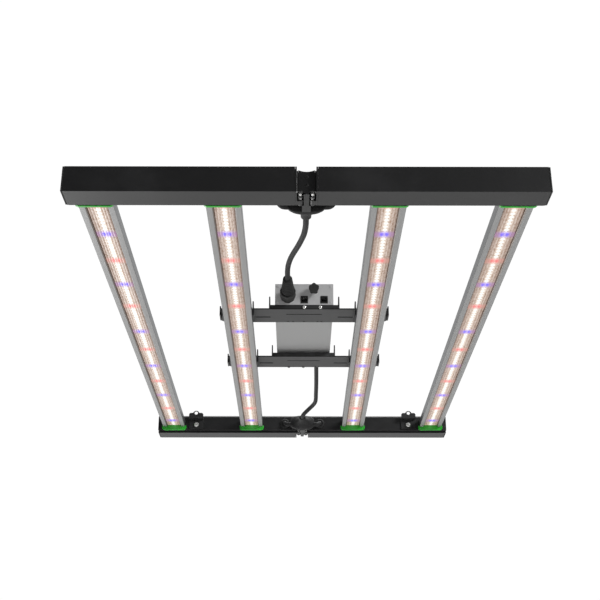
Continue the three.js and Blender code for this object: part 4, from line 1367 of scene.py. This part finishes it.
@dataclass
class Driver:
    """The driver: case, panels, sockets, knob, plug with its ribbed boot, inlet and gland."""

    corner_inset: float = 4.5 * MM
    knob_axis: tuple[float, float] = (15.3 * MM, 56 * MM)

    def build(self) -> None:
        """Dresses the driver and adds its fine pieces."""
        dress("driver_case", DRIVER_METAL, 0.2 * MM)
        dress("driver_front_panel", PANEL_METAL, 0.3 * MM)
        dress("driver_rear_panel", PANEL_METAL, 0.3 * MM)
        dress("driver_circuit_board", CIRCUIT_BOARD, 0.1 * MM)
        fittings = (
            "output_socket", "dimming_port_left", "dimming_port_right", "mains_inlet", "rear_cord_gland",
        )
        for node in fittings:
            dress(node, BLACK_PLASTIC, 0.3 * MM)
        dress("coupling_nut", BLACK_PLASTIC, 0.3 * MM)
        dress("dimmer_knob", BLACK_PLASTIC, 0.4 * MM)
        self._plug()
        self._knob_neck()
        for end in End:
            self._panel_screws(end)
        self._port_contacts()
        self._inlet_pins()

    def _plug(self) -> None:
        """Turns the cord's plug with the ribbed boot that the cord leaves by."""
        low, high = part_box("cord_plug")
        x, z = (low.x + high.x) / 2, (low.z + high.z) / 2
        start = 0.0
        length = high.y - low.y
        profile = [
            (8.1 * MM, start), (8.1 * MM, 12 * MM), (9.0 * MM, 12.4 * MM), (9.9 * MM, 14 * MM),
            (9.9 * MM, 18 * MM),
        ]
        ribs = 7
        first, last = 19 * MM, length - 1.5 * MM
        for i in range(ribs):
            at = first + (last - first) * i / ribs
            step = (last - first) / ribs
            wide = (9.9 - 2.9 * i / ribs) * MM
            profile += [
                (wide - 1.2 * MM, at), (wide - 1.2 * MM, at + step * 0.28),
                (wide, at + step * 0.4), (wide - 0.1 * MM, at + step * 0.82),
            ]
        profile += [(5.2 * MM, last), (4.9 * MM, length)]
        plug = Solid().turned(profile, (x, high.y, z), (0, -1, 0), 36)
        made = plug.piece("plug_with_boot", CORD_RUBBER, 30)
        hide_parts("cord_plug")
        mount(made, LEFT_HALF)

    def _panel_screws(self, end: End) -> None:
        """Adds the four screws in the corners of one panel."""
        low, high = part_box(f"driver_{end.word}_panel")
        face = low.y if end is End.FRONT else high.y
        inset = self.corner_inset
        solid = Solid()
        for x in (low.x + inset, high.x - inset):
            for z in (low.z + inset, high.z - inset):
                screw_head(solid, (x, face, z), (0, end.value, 0), 2.0 * MM, 0.8 * MM, 0.8 * MM)
        mount(solid.piece(f"panel_screws_{end.word}", PANEL_METAL), LEFT_HALF)

    def _knob_neck(self) -> None:
        """Adds the grey sleeve round the neck of the dimmer knob."""
        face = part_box("driver_front_panel")[0].y
        profile = [(5.05 * MM, 0.4 * MM), (5.5 * MM, 0.4 * MM), (5.5 * MM, 6.2 * MM), (5.05 * MM, 6.2 * MM)]
        place = (self.knob_axis[0], face, self.knob_axis[1])
        sleeve = Solid().turned(profile, place, (0, -1, 0), 32, joined=True)
        mount(sleeve.piece("dimmer_neck_sleeve", PANEL_METAL), "knob")

    @staticmethod
    def _port_contacts() -> None:
        """Adds the spring contacts in the two dimming ports."""
        solid = Solid()
        for word in ("left", "right"):
            low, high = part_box(f"dimming_port_{word}")
            centre = (low.x + high.x) / 2
            for i in range(8):
                x = centre + (i - 3.5) * 0.9 * MM
                top = low.z + 9.9 * MM
                start = (x - 0.22 * MM, low.y + 1.5 * MM, top - 0.5 * MM)
                solid.block(start, (x + 0.22 * MM, high.y - 2.1 * MM, top))
        mount(solid.piece("dimming_port_contacts", PLATED_STEEL), LEFT_HALF)

    @staticmethod
    def _inlet_pins() -> None:
        """Adds the three blades of the mains inlet."""
        low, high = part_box("mains_inlet")
        middle_x, middle_z = (low.x + high.x) / 2, (low.z + high.z) / 2
        solid = Solid()
        for x, z in ((-7, -2), (0, 2), (7, -2)):
            place = Vector((middle_x + x * MM, low.y + 3.1 * MM, middle_z + z * MM))
            solid.block(
                (place.x - 1 * MM, place.y, place.z - 2 * MM),
                (place.x + 1 * MM, high.y - 3 * MM, place.z + 2 * MM),
            )
        mount(solid.piece("mains_inlet_blades", PLATED_STEEL), LEFT_HALF)


def main() -> None:
    """Builds the studio and the lamp's classes in order."""
    logging.basicConfig(level=logging.INFO, format="%(name)s: %(message)s")
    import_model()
    parts = [
        Studio(),
        CableRun(),
        Rails(),
        LightBar(1, Side.LEFT),
        LightBar(2, Side.LEFT),
        LightBar(3, Side.RIGHT),
        LightBar(4, Side.RIGHT),
        Hangers(),
        CrossBrackets(),
        Driver(),
    ]
    for part in parts:
        part.build()


if __name__ == "__main__":
    main()
